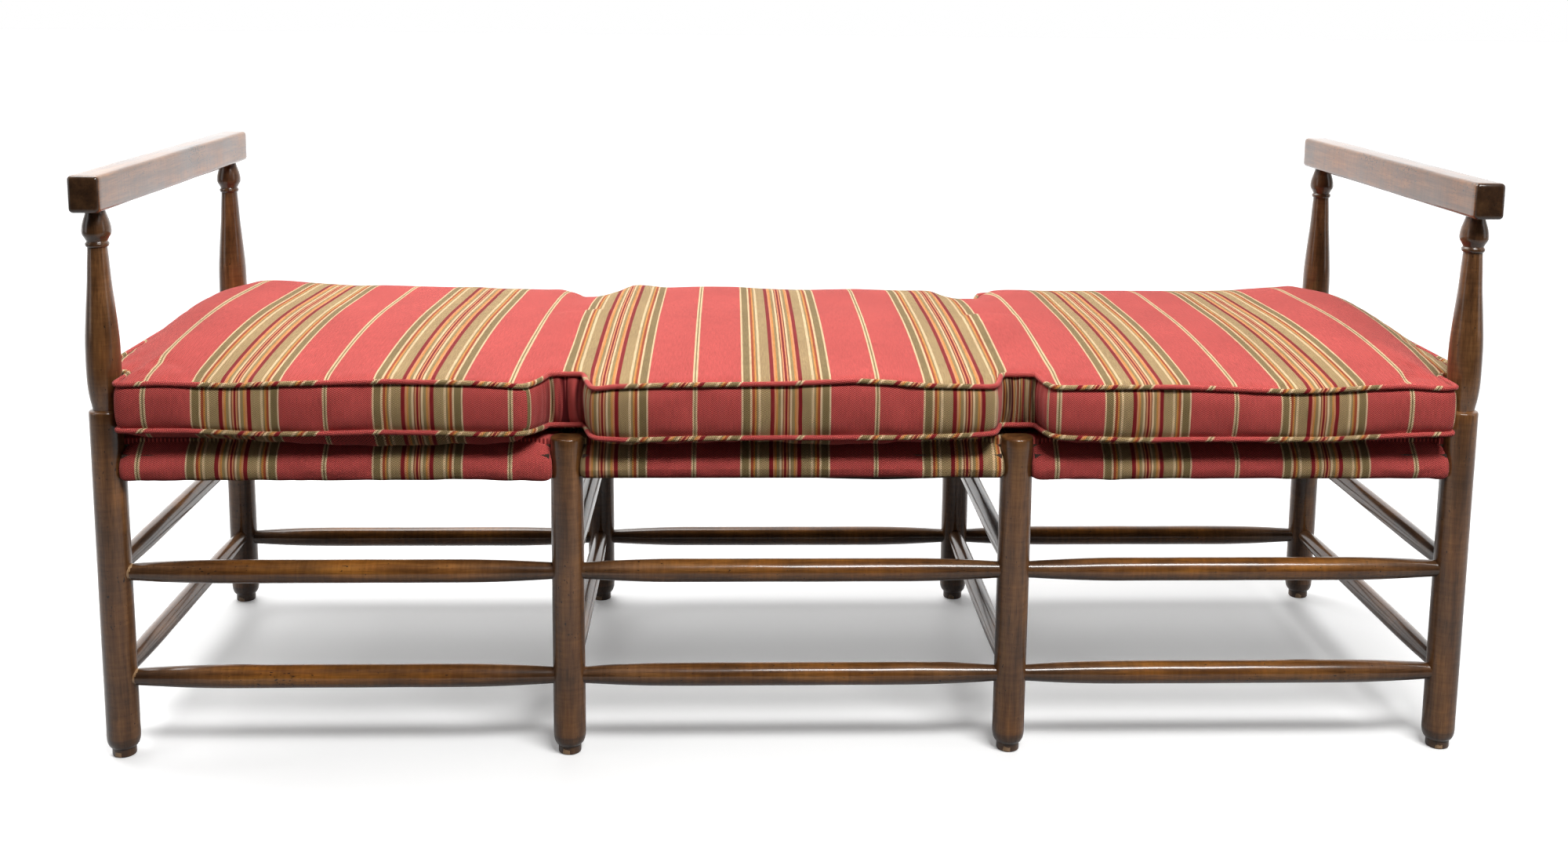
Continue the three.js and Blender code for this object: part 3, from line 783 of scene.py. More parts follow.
def relax_plan(plan, cells, ring):
    """Round the outline's corners, then let the points inside it settle between their neighbours."""
    for _ in range(EDGE_PASSES):
        around = (np.roll(plan[ring], 1, axis=0) + np.roll(plan[ring], -1, axis=0)) / 2
        plan[ring] = (plan[ring] + around) / 2
    sides = cell_sides(cells)
    pairs = np.unique(np.array([*sides, *((b, a) for a, b in sides)]), axis=0)
    count = np.bincount(pairs[:, 0], minlength=len(plan))[:, None]
    inside = np.ones(len(plan), bool)
    inside[ring] = False
    for _ in range(SETTLE_PASSES):
        total = np.zeros_like(plan)
        np.add.at(total, pairs[:, 0], plan[pairs[:, 1]])
        plan[inside] = (total / count)[inside]


plan, cells = cushion_cells()
ring = outline_ring(cells)
flare_notches(plan)
relax_plan(plan, cells, ring)
print("cushion plan:", len(plan), "points,", len(cells), "cells,", len(ring), "round the edge")

# %% [markdown]
# No sewn edge on a used cushion is straight. Short tables say how high each seam runs along
# the front, how full the crown is along the bench, and how far the underside hangs below its
# seam. The back of the cushion reads the same tables from the other end, and its top seam
# wavers less. Where a notch meets the boxing, the cloth is gathered and its folds are darkened
# with painted shade.

# %% How the cushion's seams and crown run
TOP_SEAM = [
    (-870, 491), (-815, 492), (-772, 494), (-690, 491), (-640, 493), (-565, 495), (-500, 496.5),
    (-395, 494.5), (-350, 492), (-334, 490), (-243, 487), (-224, 490), (-166, 492), (-13, 494),
    (73, 498), (111, 496.5), (160, 492), (242, 490.5), (315, 489.5), (471, 490.5), (530, 488.5),
    (609, 485), (648, 485.5), (726, 490.5), (766, 492), (802, 489), (870, 490),
]
BOTTOM_SEAM = [
    (-870, 434), (-808, 435.5), (-737, 435.5), (-650, 431.5), (-586, 432), (-510, 434), (-434, 433),
    (-380, 431), (-339, 432), (-243, 426), (-205, 424), (-128, 426), (-12, 427), (122, 427), (200, 429),
    (242, 432), (317, 429), (337, 427), (415, 424), (513, 425), (671, 425), (711, 427.5), (790, 431),
    (870, 432),
]
CROWN = [
    (-870, 42), (-800, 41), (-748, 40), (-714, 37), (-679, 35), (-644, 33), (-607, 34), (-572, 32),
    (-537, 30), (-502, 28.5), (-465, 28.5), (-431, 25.5), (-395, 25), (-360, 24), (-318, 28),
    (-284, 30), (-250, 34), (-213, 35), (-177, 29), (-141, 30), (-105, 29.5), (-69, 28.5), (-32, 25.5),
    (4, 24), (41, 23), (77, 24.5), (113, 26), (150, 25), (188, 24), (224, 25), (284, 27), (335, 27),
    (371, 26), (410, 23), (485, 22.5), (558, 24), (632, 25), (669, 26), (706, 28), (739, 31), (775, 34),
    (805, 40), (870, 43),
]
UNDERSIDE_HANG = [
    (-870, 5), (-814, 10), (-743, 12), (-667, 15), (-591, 20), (-510, 24), (-438, 21), (-361, 15),
    (-310, 9), (-245, 9), (-128, 11), (-51, 11), (46, 15), (124, 13), (203, 9), (321, 9), (459, 10),
    (638, 10), (757, 8), (870, 5),
]
NOTCH_TOP = {-1: 495 * MM, 1: 489 * MM}
NOTCH_BOTTOM = 431 * MM
CROWN_FALL = {"front": (320 * MM, 2.0), "back": (170 * MM, 2.2), "end": (70 * MM, 1.8)}
SIDEWAYS = 2.5
BACK_SEAM, BACK_WAVER = 490.5 * MM, 0.3
NOTCH_DIP, NOTCH_DIP_WIDTH = 8 * MM, 32 * MM
DIP_FROM, DIP_OVER = 60 * MM, 150 * MM
NOTCH_FLAT, NOTCH_FADE = 20 * MM, 25 * MM
HANG_REACH = 14 * MM
HANG_RECOVERY = 30 * MM
BOXING_ROWS = [
    (0.035, -2.0), (0.09, 1.0), (0.2, 2.6), (0.35, 3.3), (0.5, 3.5), (0.65, 3.3), (0.8, 2.6),
    (0.91, 1.0), (0.965, -1.5),
]
DECK_GAP = 0.6 * MM
ROLL_SETBACK = {0: 4.5 * MM, 1: 3 * MM}
ROLL_REACH, END_ROLL_REACH = 26, 20
ROLL_TOP = [(-12, 2), (0, 5), (6, 8.5), (12, 13.5), (18, 19.5), (22.5, 26), (25, 32.5), (26, 38)]


def from_table(table, x):
    places, values = np.array(table).T * MM
    return np.interp(x, places, values)


def towards_back(y):
    """0 at the front edge, 1 at the back edge."""
    return np.clip((y + CUSHION_FRONT) / (2 * CUSHION_FRONT), 0, 1)


def front_to_back(table, x, y):
    """The table along the front, the mirrored table along the back, and a blend between."""
    share = towards_back(y)
    return from_table(table, x) * (1 - share) + from_table(table, -x) * share


def deck_surface(points):
    """Height of the deck's top under each point, falling away over the edge rolls."""
    over_front = np.abs(points[:, 1]) - half_depth + ROLL_SETBACK[0]
    over_end = (np.abs(points[:, 0]) - columns[3] + ROLL_SETBACK[1]) * ROLL_REACH / END_ROLL_REACH
    return deck_top - from_table(ROLL_TOP, np.maximum(over_front, over_end))


def edge_distance(points, edges, sideways=1.0):
    """Distance of every point of the plan to the nearest edge, where a step sideways may count for more."""
    stretch = np.array([sideways, 1.0])
    best = np.full(len(points), 1e9)
    for a, b in edges * stretch:
        run = b - a
        t = np.clip(((points * stretch - a) @ run) / (run @ run), 0, 1)
        best = np.minimum(best, np.linalg.norm(points * stretch - a - t[:, None] * run, axis=1))
    return best


def rise(distance, fall):
    reach, power = fall
    return 1 - (1 - np.clip(distance / reach, 0, 1)) ** power


def crown_fullness(points, edges):
    """0 at the sewn edges and 1 at full height: slow behind the front edge, quicker at the back and ends."""
    middle = edges.mean(axis=1)[:, 1]
    front = edge_distance(points, edges[middle < MM - TONGUE], SIDEWAYS)
    back = edge_distance(points, edges[middle > TONGUE - MM], SIDEWAYS)
    end = CUSHION_END - np.abs(points[:, 0])
    return rise(front, CROWN_FALL["front"]) * rise(back, CROWN_FALL["back"]) * rise(end, CROWN_FALL["end"])


def notch_dip(x, y):
    """How far the crown sinks in line with the notches, deeper towards front and back."""
    across = (np.abs(x) - NOTCH_MIDDLE) / NOTCH_DIP_WIDTH
    return NOTCH_DIP * np.exp(-across ** 2) * np.clip((np.abs(y) - DIP_FROM) / DIP_OVER, 0, 1)


def in_notch(x, y):
    """1 on the floor of a notch and 0 at its mouth and everywhere else."""
    across = np.abs(np.abs(x) - NOTCH_MIDDLE)
    near = np.clip(1 - (across - NOTCH_FLAT) / NOTCH_FADE, 0, 1)
    return near * np.clip((CUSHION_FRONT - np.abs(y)) / (CUSHION_FRONT - NOTCH_FLOOR), 0, 1)


# %% Cushion form
def outward_of(loop):
    """Unit steps outward, in plan, from every point of a ring."""
    run = (np.roll(loop, -1, axis=0) - np.roll(loop, 1, axis=0))[:, :2]
    return np.column_stack([run[:, 1], -run[:, 0]]) / np.linalg.norm(run, axis=1)[:, None]


def cushion_heights():
    """Heights of the top and of the underside over every point of the plan."""
    x, y = plan.T
    edges = np.stack([plan[ring], np.roll(plan[ring], -1, axis=0)], axis=1)
    distance = edge_distance(plan, edges)
    notch = in_notch(x, y)
    back_seam = BACK_SEAM + BACK_WAVER * (from_table(TOP_SEAM, -x) - BACK_SEAM)
    share = towards_back(y)
    top_seam = from_table(TOP_SEAM, x) * (1 - share) + back_seam * share
    top_seam = top_seam * (1 - notch) + np.where(y < 0, NOTCH_TOP[-1], NOTCH_TOP[1]) * notch
    bottom_seam = front_to_back(BOTTOM_SEAM, x, y) * (1 - notch) + NOTCH_BOTTOM * notch
    top_z = top_seam + (from_table(CROWN, x) - notch_dip(x, y)) * crown_fullness(plan, edges)
    hang = 1 - (1 - np.clip(distance / HANG_REACH, 0, 1)) ** 2
    recovery = np.clip((distance - HANG_REACH) / HANG_RECOVERY, 0, 1)
    underside_z = bottom_seam - front_to_back(UNDERSIDE_HANG, x, y) * hang
    underside_z = underside_z * (1 - recovery) + (deck_top + DECK_GAP) * recovery
    return top_z, np.maximum(underside_z, deck_surface(plan) + DECK_GAP)


def cushion_form():
    """Top panel, underside, then the boxing's rows between them."""
    top_z, underside_z = cushion_heights()
    outward = outward_of(plan[ring])
    vertices = [np.column_stack([plan, top_z]), np.column_stack([plan, underside_z])]
    for share, bulge in BOXING_ROWS:
        height = top_z[ring] * (1 - share) + underside_z[ring] * share
        vertices.append(np.column_stack([plan[ring] + outward * bulge * MM, height]))
    count = len(plan)
    faces = [tuple(cell) for cell in cells]
    faces += [tuple(count + i for i in cell[::-1]) for cell in cells]
    rows = [2 * count + row * len(ring) + np.arange(len(ring)) for row in range(len(BOXING_ROWS))]
    rows = [row.tolist() for row in (ring, *rows, count + ring)]
    for upper, lower in zip(rows, rows[1:]):
        for i in range(len(ring)):
            k = (i + 1) % len(ring)
            faces.append((upper[k], upper[i], lower[i], lower[k]))
    return np.vstack(vertices), faces, outward


# The cover has crept a little on its filling: cloth place against real place, front and back.
CLOTH_PLACE = [-1000, -866, -808, -580, -352, -124, 104, 332, 560, 788, 846, 1000]
FRONT_PLACE = [-981, -853, -789, -571.5, -347.5, -122, 102, 328, 548, 768, 824, 980]
BACK_PLACE = [-1003, -869, -769, -552, -328, -122, 103, 325, 543, 757, 812, 970]
CREEP_BLEND = CUSHION_FRONT + 150 * MM


def cloth_across(x, y):
    """Which cloth lies at a place, counted across the stripes."""
    front = np.interp(x / MM, FRONT_PLACE, CLOTH_PLACE)
    back = np.interp(x / MM, BACK_PLACE, CLOTH_PLACE)
    share = min(1.0, max(0.0, (y + CUSHION_FRONT) / CREEP_BLEND))
    return (front + (back - front) * share) * MM


# In the notches the boxing is pieced: which cloth lies at the notch's left corner, and how gathered.
NOTCH_CLOTH = {-1: (-356 * MM, 1.0), 1: (165 * MM, 2.3)}
NOTCHED_FROM, NOTCHED_TO = 235 * MM, 345 * MM


def notch_across(x, y):
    """Which cloth lies at a place of the boxing inside a notch."""
    side = -1 if x < 0 else 1
    middle = NOTCH_MIDDLE * side
    start, gathered = NOTCH_CLOTH[side]
    into = np.sign(x - middle) * max(0.0, abs(y) - NOTCH_FLOOR)
    return start + (x - middle + (NOTCH_OUTER - NOTCH_INNER) / 2) * gathered + into


def lay_cloth(mesh, points, panel_faces):
    """Cloth coordinates in metres: stripes across u, threads along v."""
    layer = mesh.uv_layers.new(name="cloth")
    for polygon in mesh.polygons:
        normal = polygon.normal
        middle_x, middle_y, _ = polygon.center
        notched = abs(middle_y) < CUSHION_FRONT - 3 * MM and NOTCHED_FROM < abs(middle_x) < NOTCHED_TO
        for loop in polygon.loop_indices:
            x, y, z = points[mesh.loops[loop].vertex_index]
            across = cloth_across(x, y)
            if polygon.index < panel_faces:
                layer.data[loop].uv = (across, y)
            elif notched:
                layer.data[loop].uv = (notch_across(x, y), z)
            elif abs(normal.y) > 0.6 * abs(normal.x):
                layer.data[loop].uv = (across, z)
            else:
                layer.data[loop].uv = (across + math.copysign(abs(abs(y) - CUSHION_FRONT), normal.x), z)


def lay_by_point(mesh, places):
    """Cloth coordinates given for each point."""
    layer = mesh.uv_layers.new(name="cloth")
    for loop in mesh.loops:
        layer.data[loop.index].uv = places[loop.vertex_index]


def subdivide(piece):
    smooth = piece.modifiers.new("Smooth", "SUBSURF")
    smooth.levels = smooth.render_levels = 1


def finish_padded(piece, node, body):
    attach(piece, body)
    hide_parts(node)


PANEL_TRAVEL = 3 * MM
BOXING_TRAVEL = 2.5 * MM
vertices, faces, ring_outward = cushion_form()
cushion = mesh_piece("box_cushion", vertices, faces, stripe_cloth)
lay_cloth(cushion.data, vertices, 2 * len(cells))
top_loop = vertices[ring]
bottom_loop = vertices[len(plan) + ring]


def boxing_row(row):
    """Point numbers of one row of the boxing."""
    start = 2 * len(plan) + row * len(ring)
    return slice(start, start + len(ring))


travel = np.where(np.arange(len(vertices)) < 2 * len(plan), PANEL_TRAVEL, BOXING_TRAVEL)
# gathered marks the boxing in the notches, where the cloth's folds are darkened with painted shade.
gathered = np.zeros(len(vertices))
for row, (share, _) in enumerate(BOXING_ROWS):
    from_seam = min(share, 1 - share) - BOXING_ROWS[0][0]
    travel[boxing_row(row)] *= min(1.0, 0.1 + 5 * from_seam)
    gathered[boxing_row(row)] = in_notch(plan[ring, 0], plan[ring, 1]) ** 1.5
point_value(cushion.data, "gathered", gathered)
puff(cushion, [*ring, *(len(plan) + ring)], travel)

# %% Gathers in the notches, and the finished cushion
GATHER_PITCH = 13.6 * MM
GATHER_DEPTH = 4 * MM
GATHER_DRIFT, DRIFT_PACE = 2, 90


def gather_notches(points):
    """Shallow upright pleats where the boxing turns into a notch, deepest at mid-height."""
    run = np.concatenate([[0], np.cumsum(np.linalg.norm(np.diff(plan[ring], axis=0), axis=1))])
    wave = np.sin(run * math.tau / GATHER_PITCH + GATHER_DRIFT * np.sin(run * DRIFT_PACE))
    strength = in_notch(plan[ring, 0], plan[ring, 1]) ** 0.7 * GATHER_DEPTH * wave
    for row, (share, _) in enumerate(BOXING_ROWS):
        depth = (strength * math.sin(math.pi * share) ** 0.5)[:, None]
        points[boxing_row(row), :2] += ring_outward * depth


settled = read_points(cushion.data)
gather_notches(settled)
low_side = slice(len(plan), 2 * len(plan))
settled[low_side, 2] = np.maximum(settled[low_side, 2], deck_surface(settled[low_side]) + DECK_GAP)
write_points(cushion.data, settled)
subdivide(cushion)
finish_padded(cushion, "cushion", "cushion")

# %% [markdown]
# Piping follows a path, so a Geometry Nodes tree makes it. The sewn edge comes in as a loop of
# plain edges, becomes a curve, is resampled evenly and swept with a small circle. Two values
# are kept on the way, how far along the run and how far round the cord, and the slant-cut
# cloth reads them. The tree's result is made a plain mesh before it joins the cushion.

# %% Helpers for trees that follow a path
def path_tree(name, values, material):
    """A tree with its named inputs, and its path resampled by the first of its values."""
    tree = bpy.data.node_groups.new(name, "GeometryNodeTree")
    sockets = {"Geometry": "Geometry", **dict.fromkeys(values, "Float"), material: "Material"}
    for socket, kind in sockets.items():
        made = tree.interface.new_socket(name=socket, in_out="INPUT", socket_type=f"NodeSocket{kind}")
        if socket in values:
            made.default_value = values[socket]
    tree.interface.new_socket(name="Geometry", in_out="OUTPUT", socket_type="NodeSocketGeometry")
    given = add_node(tree, "NodeGroupInput").outputs
    path = add_node(tree, "GeometryNodeMeshToCurve", {"Mesh": given["Geometry"]}).outputs[0]
    inputs = {"Curve": path, "Length": given[next(iter(values))]}
    even = add_node(tree, "GeometryNodeResampleCurve", inputs, mode="LENGTH").outputs[0]
    return tree, given, even


def end_tree(tree, made, material):
    real = add_node(tree, "GeometryNodeRealizeInstances", {0: made}).outputs[0]
    dressed = add_node(tree, "GeometryNodeSetMaterial", {"Geometry": real, "Material": material}).outputs[0]
    tree.links.new(dressed, add_node(tree, "NodeGroupOutput").inputs[0])
    return tree


def run_tree(name, points, tree, values):
    """Evaluate a tree on a closed loop with the given named inputs, and keep a plain piece."""
    count = len(points)
    loop = bpy.data.meshes.new(name)
    loop.from_pydata([tuple(p) for p in points], [(i, (i + 1) % count) for i in range(count)], [])
    source = show(f"{name}_path", loop)
    modifier = source.modifiers.new("Tree", "NODES")
    modifier.node_group = tree
    for item in tree.interface.items_tree:
        if item.in_out == "INPUT" and item.name in values:
            modifier[item.identifier] = values[item.name]
    source.update_tag()
    graph = bpy.context.evaluated_depsgraph_get()
    mesh = bpy.data.meshes.new_from_object(source.evaluated_get(graph))
    bpy.data.objects.remove(source)
    mesh.name = name
    mesh.shade_smooth()
    print(name, "has", len(mesh.vertices), "points")
    return show(name, mesh)


# %% Piping tree
PIPING = {"Step": 4 * MM, "Cord radius": PIPING_RADIUS}
CORD_SIDES = 12


def piping_tree():
    tree, given, even = path_tree("Piping along a sewn edge", PIPING, "Cloth")
    upright = add_node(tree, "GeometryNodeSetCurveNormal", {"Curve": even}, mode="Z_UP")
    length = add_node(tree, "GeometryNodeSplineParameter").outputs["Length"]
    keep_run = add_node(tree, "GeometryNodeCaptureAttribute")
    keep_run.capture_items.new("FLOAT", "run")
    tree.links.new(upright.outputs[0], keep_run.inputs[0])
    tree.links.new(length, keep_run.inputs[1])
    size = {"Resolution": CORD_SIDES, "Radius": given["Cord radius"]}
    circle = add_node(tree, "GeometryNodeCurvePrimitiveCircle", size)
    factor = add_node(tree, "GeometryNodeSplineParameter").outputs["Factor"]
    turn = calc(tree, "MULTIPLY", factor, math.tau)
    keep_turn = add_node(tree, "GeometryNodeCaptureAttribute")
    for number, part in enumerate(("SINE", "COSINE"), 1):
        keep_turn.capture_items.new("FLOAT", part.lower())
        tree.links.new(calc(tree, part, turn), keep_turn.inputs[number])
    tree.links.new(circle.outputs[0], keep_turn.inputs[0])
    swept = add_node(tree, "GeometryNodeCurveToMesh",
                     {"Curve": keep_run.outputs[0], "Profile Curve": keep_turn.outputs[0]}).outputs[0]
    _, sine, cosine, *_ = keep_turn.outputs
    for name, value in {"run": keep_run.outputs[1], "turn_sine": sine, "turn_cosine": cosine}.items():
        stored = add_node(tree, "GeometryNodeStoreNamedAttribute", {"Geometry": swept, "Name": name},
                          data_type="FLOAT", domain="POINT")
        tree.links.new(value, stored.inputs["Value"])
        swept = stored.outputs[0]
    return end_tree(tree, swept, given["Cloth"])


# %% Piping on both seams
PIPING_OUT = 1.6 * MM


def piping(name, loop, lift):
    path = loop + np.array([0, 0, lift])
    path[:, :2] += outward_of(loop) * PIPING_OUT
    piece = run_tree(name, path, sewn_piping, {**PIPING, "Cloth": piping_cloth})
    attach(piece, "cushion")


sewn_piping = piping_tree()
piping("piping_top", top_loop, 0.5 * MM)
piping("piping_bottom", bottom_loop, -0.5 * MM)

# %% [markdown]
# The deck's sides are edge rolls: cloth and wadding pulled over a seat rail and round its two
# edges, with the ends tucked in beside the legs. Each is a section carried along the rail. The
# section is full at the front and rounds off near the legs, and a light puff loosens it. Its
# face stands a few millimetres back from the model's, so that the cushion overhangs it.

# %% Edge rolls
ROLL_STEP = 9 * MM
ROLL_END = 834 * MM
ROLL_LIFT = {"edge_roll_front_1": -0.5, "edge_roll_front_2": 2.9, "edge_roll_front_3": 0.5}
ROLL_FACE = [(26.2, 13), (25.4, 6), (23.8, 2.4)]
ROLL_UNDER = [(21, 0.6), (14, 0), (2, 0), (-10, 0)]
TOP_CUT, TOP_CUT_REACH = 13 * MM, 24 * MM
LOW_CUT, LOW_CUT_REACH = 5 * MM, 12 * MM
ROLL_END_ROUND = 12 * MM
NEAR_ENDS = np.array([0, 1.5, 4, 8, 13, 19, 26]) * MM
ROLL_WAVES = [(1.3 * MM, 11, 2.0), (0.7 * MM, 34, 7.0)]  # size, pace along the roll, row of the noise
ROLL_LUMP = 0.8 * MM
ROLL_TRAVEL = 1.5 * MM
HELD_AT_BACK = 3
LEG_CLEARANCE = 0.4 * MM


def roll_section(reach, bottom, top):
    """(outward, up) pairs round the section: over the top, down the bulging face, and under."""
    scale = reach / ROLL_REACH
    section = [(q * scale * MM, top - drop * MM) for q, drop in ROLL_TOP]
    section += [(q * scale * MM, bottom + lift * MM) for q, lift in ROLL_FACE + ROLL_UNDER]
    return np.array(section)[::-1]


def clear_of_legs(x, y):
    """Move a point of the plan out of the nearest leg, if it is in one."""
    axis_x = min(columns, key=lambda column: abs(column - x))
    axis_y = math.copysign(half_depth, y)
    away = math.hypot(x - axis_x, y - axis_y)
    grow = max(1.0, (leg_radius + LEG_CLEARANCE) / max(away, MM))
    return axis_x + (x - axis_x) * grow, axis_y + (y - axis_y) * grow


def roll_stations(start, end):
    """Places along a roll, closer together towards its ends."""
    middle = ticks([start + NEAR_ENDS[-1], end - NEAR_ENDS[-1]], ROLL_STEP)
    return np.unique(np.round(np.concatenate([start + NEAR_ENDS, middle, end - NEAR_ENDS]), 5))


def edge_roll(name, node, length_axis, side):
    low, high = corners(node)
    line = half_depth if length_axis == 0 else columns[3]
    reach = (abs((high if side > 0 else low)[1 - length_axis]) - line) / MM
    bottom = low[2] + ROLL_LIFT.get(node, 0.5) * MM
    section = roll_section(reach, bottom, high[2]) - np.array([ROLL_SETBACK[length_axis], 0])
    start, end = np.clip([low[length_axis], high[length_axis]], -ROLL_END, ROLL_END)
    stations = roll_stations(start, end)
    vertices = []
    for s in stations:
        gap = min(s - start, end - s)
        round_share = 1 - min(1.0, gap / ROLL_END_ROUND)
        pull = ROLL_END_ROUND * (1 - math.sqrt(max(0.0, 1 - round_share ** 2)))
        top_cut = TOP_CUT * max(0.0, 1 - gap / TOP_CUT_REACH) ** 2
        low_cut = LOW_CUT * max(0.0, 1 - gap / LOW_CUT_REACH) ** 2
        wavy = sum(size * noise.noise((s * pace, side * 5.0, row)) for size, pace, row in ROLL_WAVES)
        for q, z in section:
            up = (z - bottom) / (high[2] - bottom)
            level = z - top_cut * up + (low_cut + wavy) * (1 - up)
            lump = ROLL_LUMP * noise.noise((s * 16, q * 20 + side * 3, z * 20))
            out = line + q - pull * max(0.0, q / (reach * MM)) + lump
            flat = (s, side * out) if length_axis == 0 else (side * out, s)
            vertices.append((*clear_of_legs(*flat), level))
    count = len(section)
    last = (len(stations) - 1) * count
    faces = tube_faces(len(stations), count)
    faces.append(tuple(range(count))[::-1])
    faces.append(tuple(range(last, last + count)))
    piece = mesh_piece(name, vertices, faces, stripe_cloth)
    outside = bmesh.new()
    outside.from_mesh(piece.data)
    bmesh.ops.recalc_face_normals(outside, faces=outside.faces)
    outside.to_mesh(piece.data)
    outside.free()
    around = np.concatenate([[0], np.cumsum(np.linalg.norm(np.diff(section, axis=0), axis=1))])
    lay_by_point(piece.data, [(s, girth) for s in stations for girth in around])
    held = [*range(HELD_AT_BACK), *range(count - HELD_AT_BACK, count)]
    sewn = [i * count + j for i in range(len(stations)) for j in held]
    puff(piece, [*sewn, *range(count), *range(last, last + count)], ROLL_TRAVEL, pressure=2.0, slack=0.015)
    subdivide(piece)
    finish_padded(piece, node, "frame")


for node in [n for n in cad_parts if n.startswith("edge_roll_")]:
    along = 0 if node[-1].isdigit() else 1
    outward_side = 1 if "back" in node or "right" in node else -1
    edge_roll(node.replace("edge_roll", "deck_roll"), node, along, outward_side)

# %% [markdown]
# The top of the deck is three thin pads under one cloth. The cushion hides them until it is
# lifted, so they are simple: a slab whose top dips a little to the seam between two bays.

# %% Deck pads
PAD_STEP = 14 * MM
PAD_DIP, PAD_DIP_REACH = 2.5 * MM, 9 * MM
PAD_WAVER = 0.5 * MM
PAD_CREASE = 50


def bay_grid(node, step, height):
    """Points over a node's box, with a height for each, and the grid's cells."""
    low, high = corners(node)
    xs, ys = (ticks([low[axis], high[axis]], step) for axis in (0, 1))
    points = [(x, y, height(x, y)) for x in xs for y in ys]
    count = len(ys)
    corner = [i * count + j for i in range(len(xs) - 1) for j in range(count - 1)]
    return points, [(a, a + count, a + count + 1, a + 1) for a in corner]


def deck_pad(name, node):
    low, high = corners(node)

    def height(x, y):
        gap = min(x - low[0], high[0] - x, y - low[1], high[1] - y)
        soft = PAD_WAVER * (noise.noise((x * 9, y * 9, 1.5)) - 1)
        return high[2] - PAD_DIP * math.exp(-gap / PAD_DIP_REACH) + soft

    points, cells = bay_grid(node, PAD_STEP, height)
    top = len(points)
    points += [(x, y, low[2]) for x, y, _ in points]
    rim = outline_ring(cells).tolist()
    faces = cells + [tuple(top + i for i in cell[::-1]) for cell in cells]
    faces += [(a, top + a, top + b, b) for a, b in zip(rim, rim[1:] + rim[:1])]
    piece = mesh_piece(name, points, faces, stripe_cloth, PAD_CREASE)
    lay_by_point(piece.data, [(x, y) for x, y, _ in points])
    finish_padded(piece, node, "frame")


for node in [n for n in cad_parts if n.startswith("deck_pad_")]:
    deck_pad(node.replace("deck_pad", "deck_top"), node)

# %% [markdown]
# Black cambric closes the deck from below. It is a sheet stapled along its edges that sags a
# few millimetres, most in the middle bay, where its edge shows below the roll. It is made as
# one thin grid for each bay, with a wall from the Solidify modifier.

# %% Cambric sheets
SHEET_STEP = 16 * MM
SHEET_WALL = 0.6 * MM
SHEET_SAG = {1: 3 * MM, 2: 7 * MM, 3: 3 * MM}
SHEET_RIPPLE = 0.6 * MM
EDGE_SLACK, SLACK_MIDDLE, SLACK_REACH = 2.6 * MM, 110 * MM, 75 * MM


def cambric_sheet(name, node, sag):
    low, high = corners(node)

    def height(x, y):
        u, v = (x - low[0]) / (high[0] - low[0]), (y - low[1]) / (high[1] - low[1])
        drop = sag * math.sin(math.pi * u) ** 0.8 * math.sin(math.pi * v)
        drop += EDGE_SLACK * math.exp(-((x - SLACK_MIDDLE) / SLACK_REACH) ** 2) * (1 - v)
        ripple = SHEET_RIPPLE * noise.noise((x * 22, y * 22, 4.0))
        return high[2] - drop + ripple * math.sin(math.pi * u)

    points, cells = bay_grid(node, SHEET_STEP, height)
    piece = mesh_piece(name, points, [(a, d, c, b) for a, b, c, d in cells], cambric)
    wall = piece.modifiers.new("Wall", "SOLIDIFY")
    wall.thickness = SHEET_WALL
    wall.offset = -1.0
    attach(piece, "frame")
    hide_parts(node)


for number, sag in SHEET_SAG.items():
    cambric_sheet(f"cambric_{number}", f"dust_cover_{number}", sag)

# %% [markdown]
# Staples repeat along a path, which is Geometry Nodes work again: a rectangle of edges is
# resampled at the staple spacing, and a staple's crown, a short bar of wire, is set on each
# point, turned along the path. The instances are realised before the material is set.

# %% Staples under the deck
STAPLES = {"Spacing": 38 * MM, "Crown": 9 * MM, "Wire": 0.5 * MM}
STAPLE_INSET = 9 * MM
STAPLE_RISE = 0.1 * MM


def staple_tree():
    tree, given, even = path_tree("Staples along an edge", STAPLES, "Finish")
    tangent = add_node(tree, "GeometryNodeInputTangent").outputs[0]
    turn = add_node(tree, "FunctionNodeAlignRotationToVector", {"Vector": tangent}, axis="X").outputs[0]
    sides = {0: given["Crown"], 1: given["Wire"], 2: given["Wire"]}
    size = add_node(tree, "ShaderNodeCombineXYZ", sides).outputs[0]
    wire = add_node(tree, "GeometryNodeMeshCube", {"Size": size}).outputs[0]
    placed = add_node(tree, "GeometryNodeInstanceOnPoints",
                      {"Points": even, "Instance": wire, "Rotation": turn}).outputs[0]
    return end_tree(tree, placed, given["Finish"])


def staples(number):
    low, high = corners(f"dust_cover_{number}")
    left, right = low[0] + leg_radius + STAPLE_INSET, high[0] - leg_radius - STAPLE_INSET
    front, back = low[1] + STAPLE_INSET, high[1] - STAPLE_INSET
    z = low[2] + STAPLE_RISE
    path = [(left, front, z), (right, front, z), (right, back, z), (left, back, z)]
    piece = run_tree(f"staples_{number}", path, stapling, {**STAPLES, "Finish": staple_wire})
    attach(piece, "frame")


stapling = staple_tree()
for number in SHEET_SAG:
    staples(number)

# %% Seat frame and boards keep their CAD meshes
FINISHES = {"seat_rail_": timber_along, "seat_cross_rail_": timber_across, "seat_board_": board_wood}
for node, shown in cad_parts.items():
    for start, finish in FINISHES.items():
        if node.startswith(start):
            shown.data.materials.clear()
            shown.data.materials.append(finish)

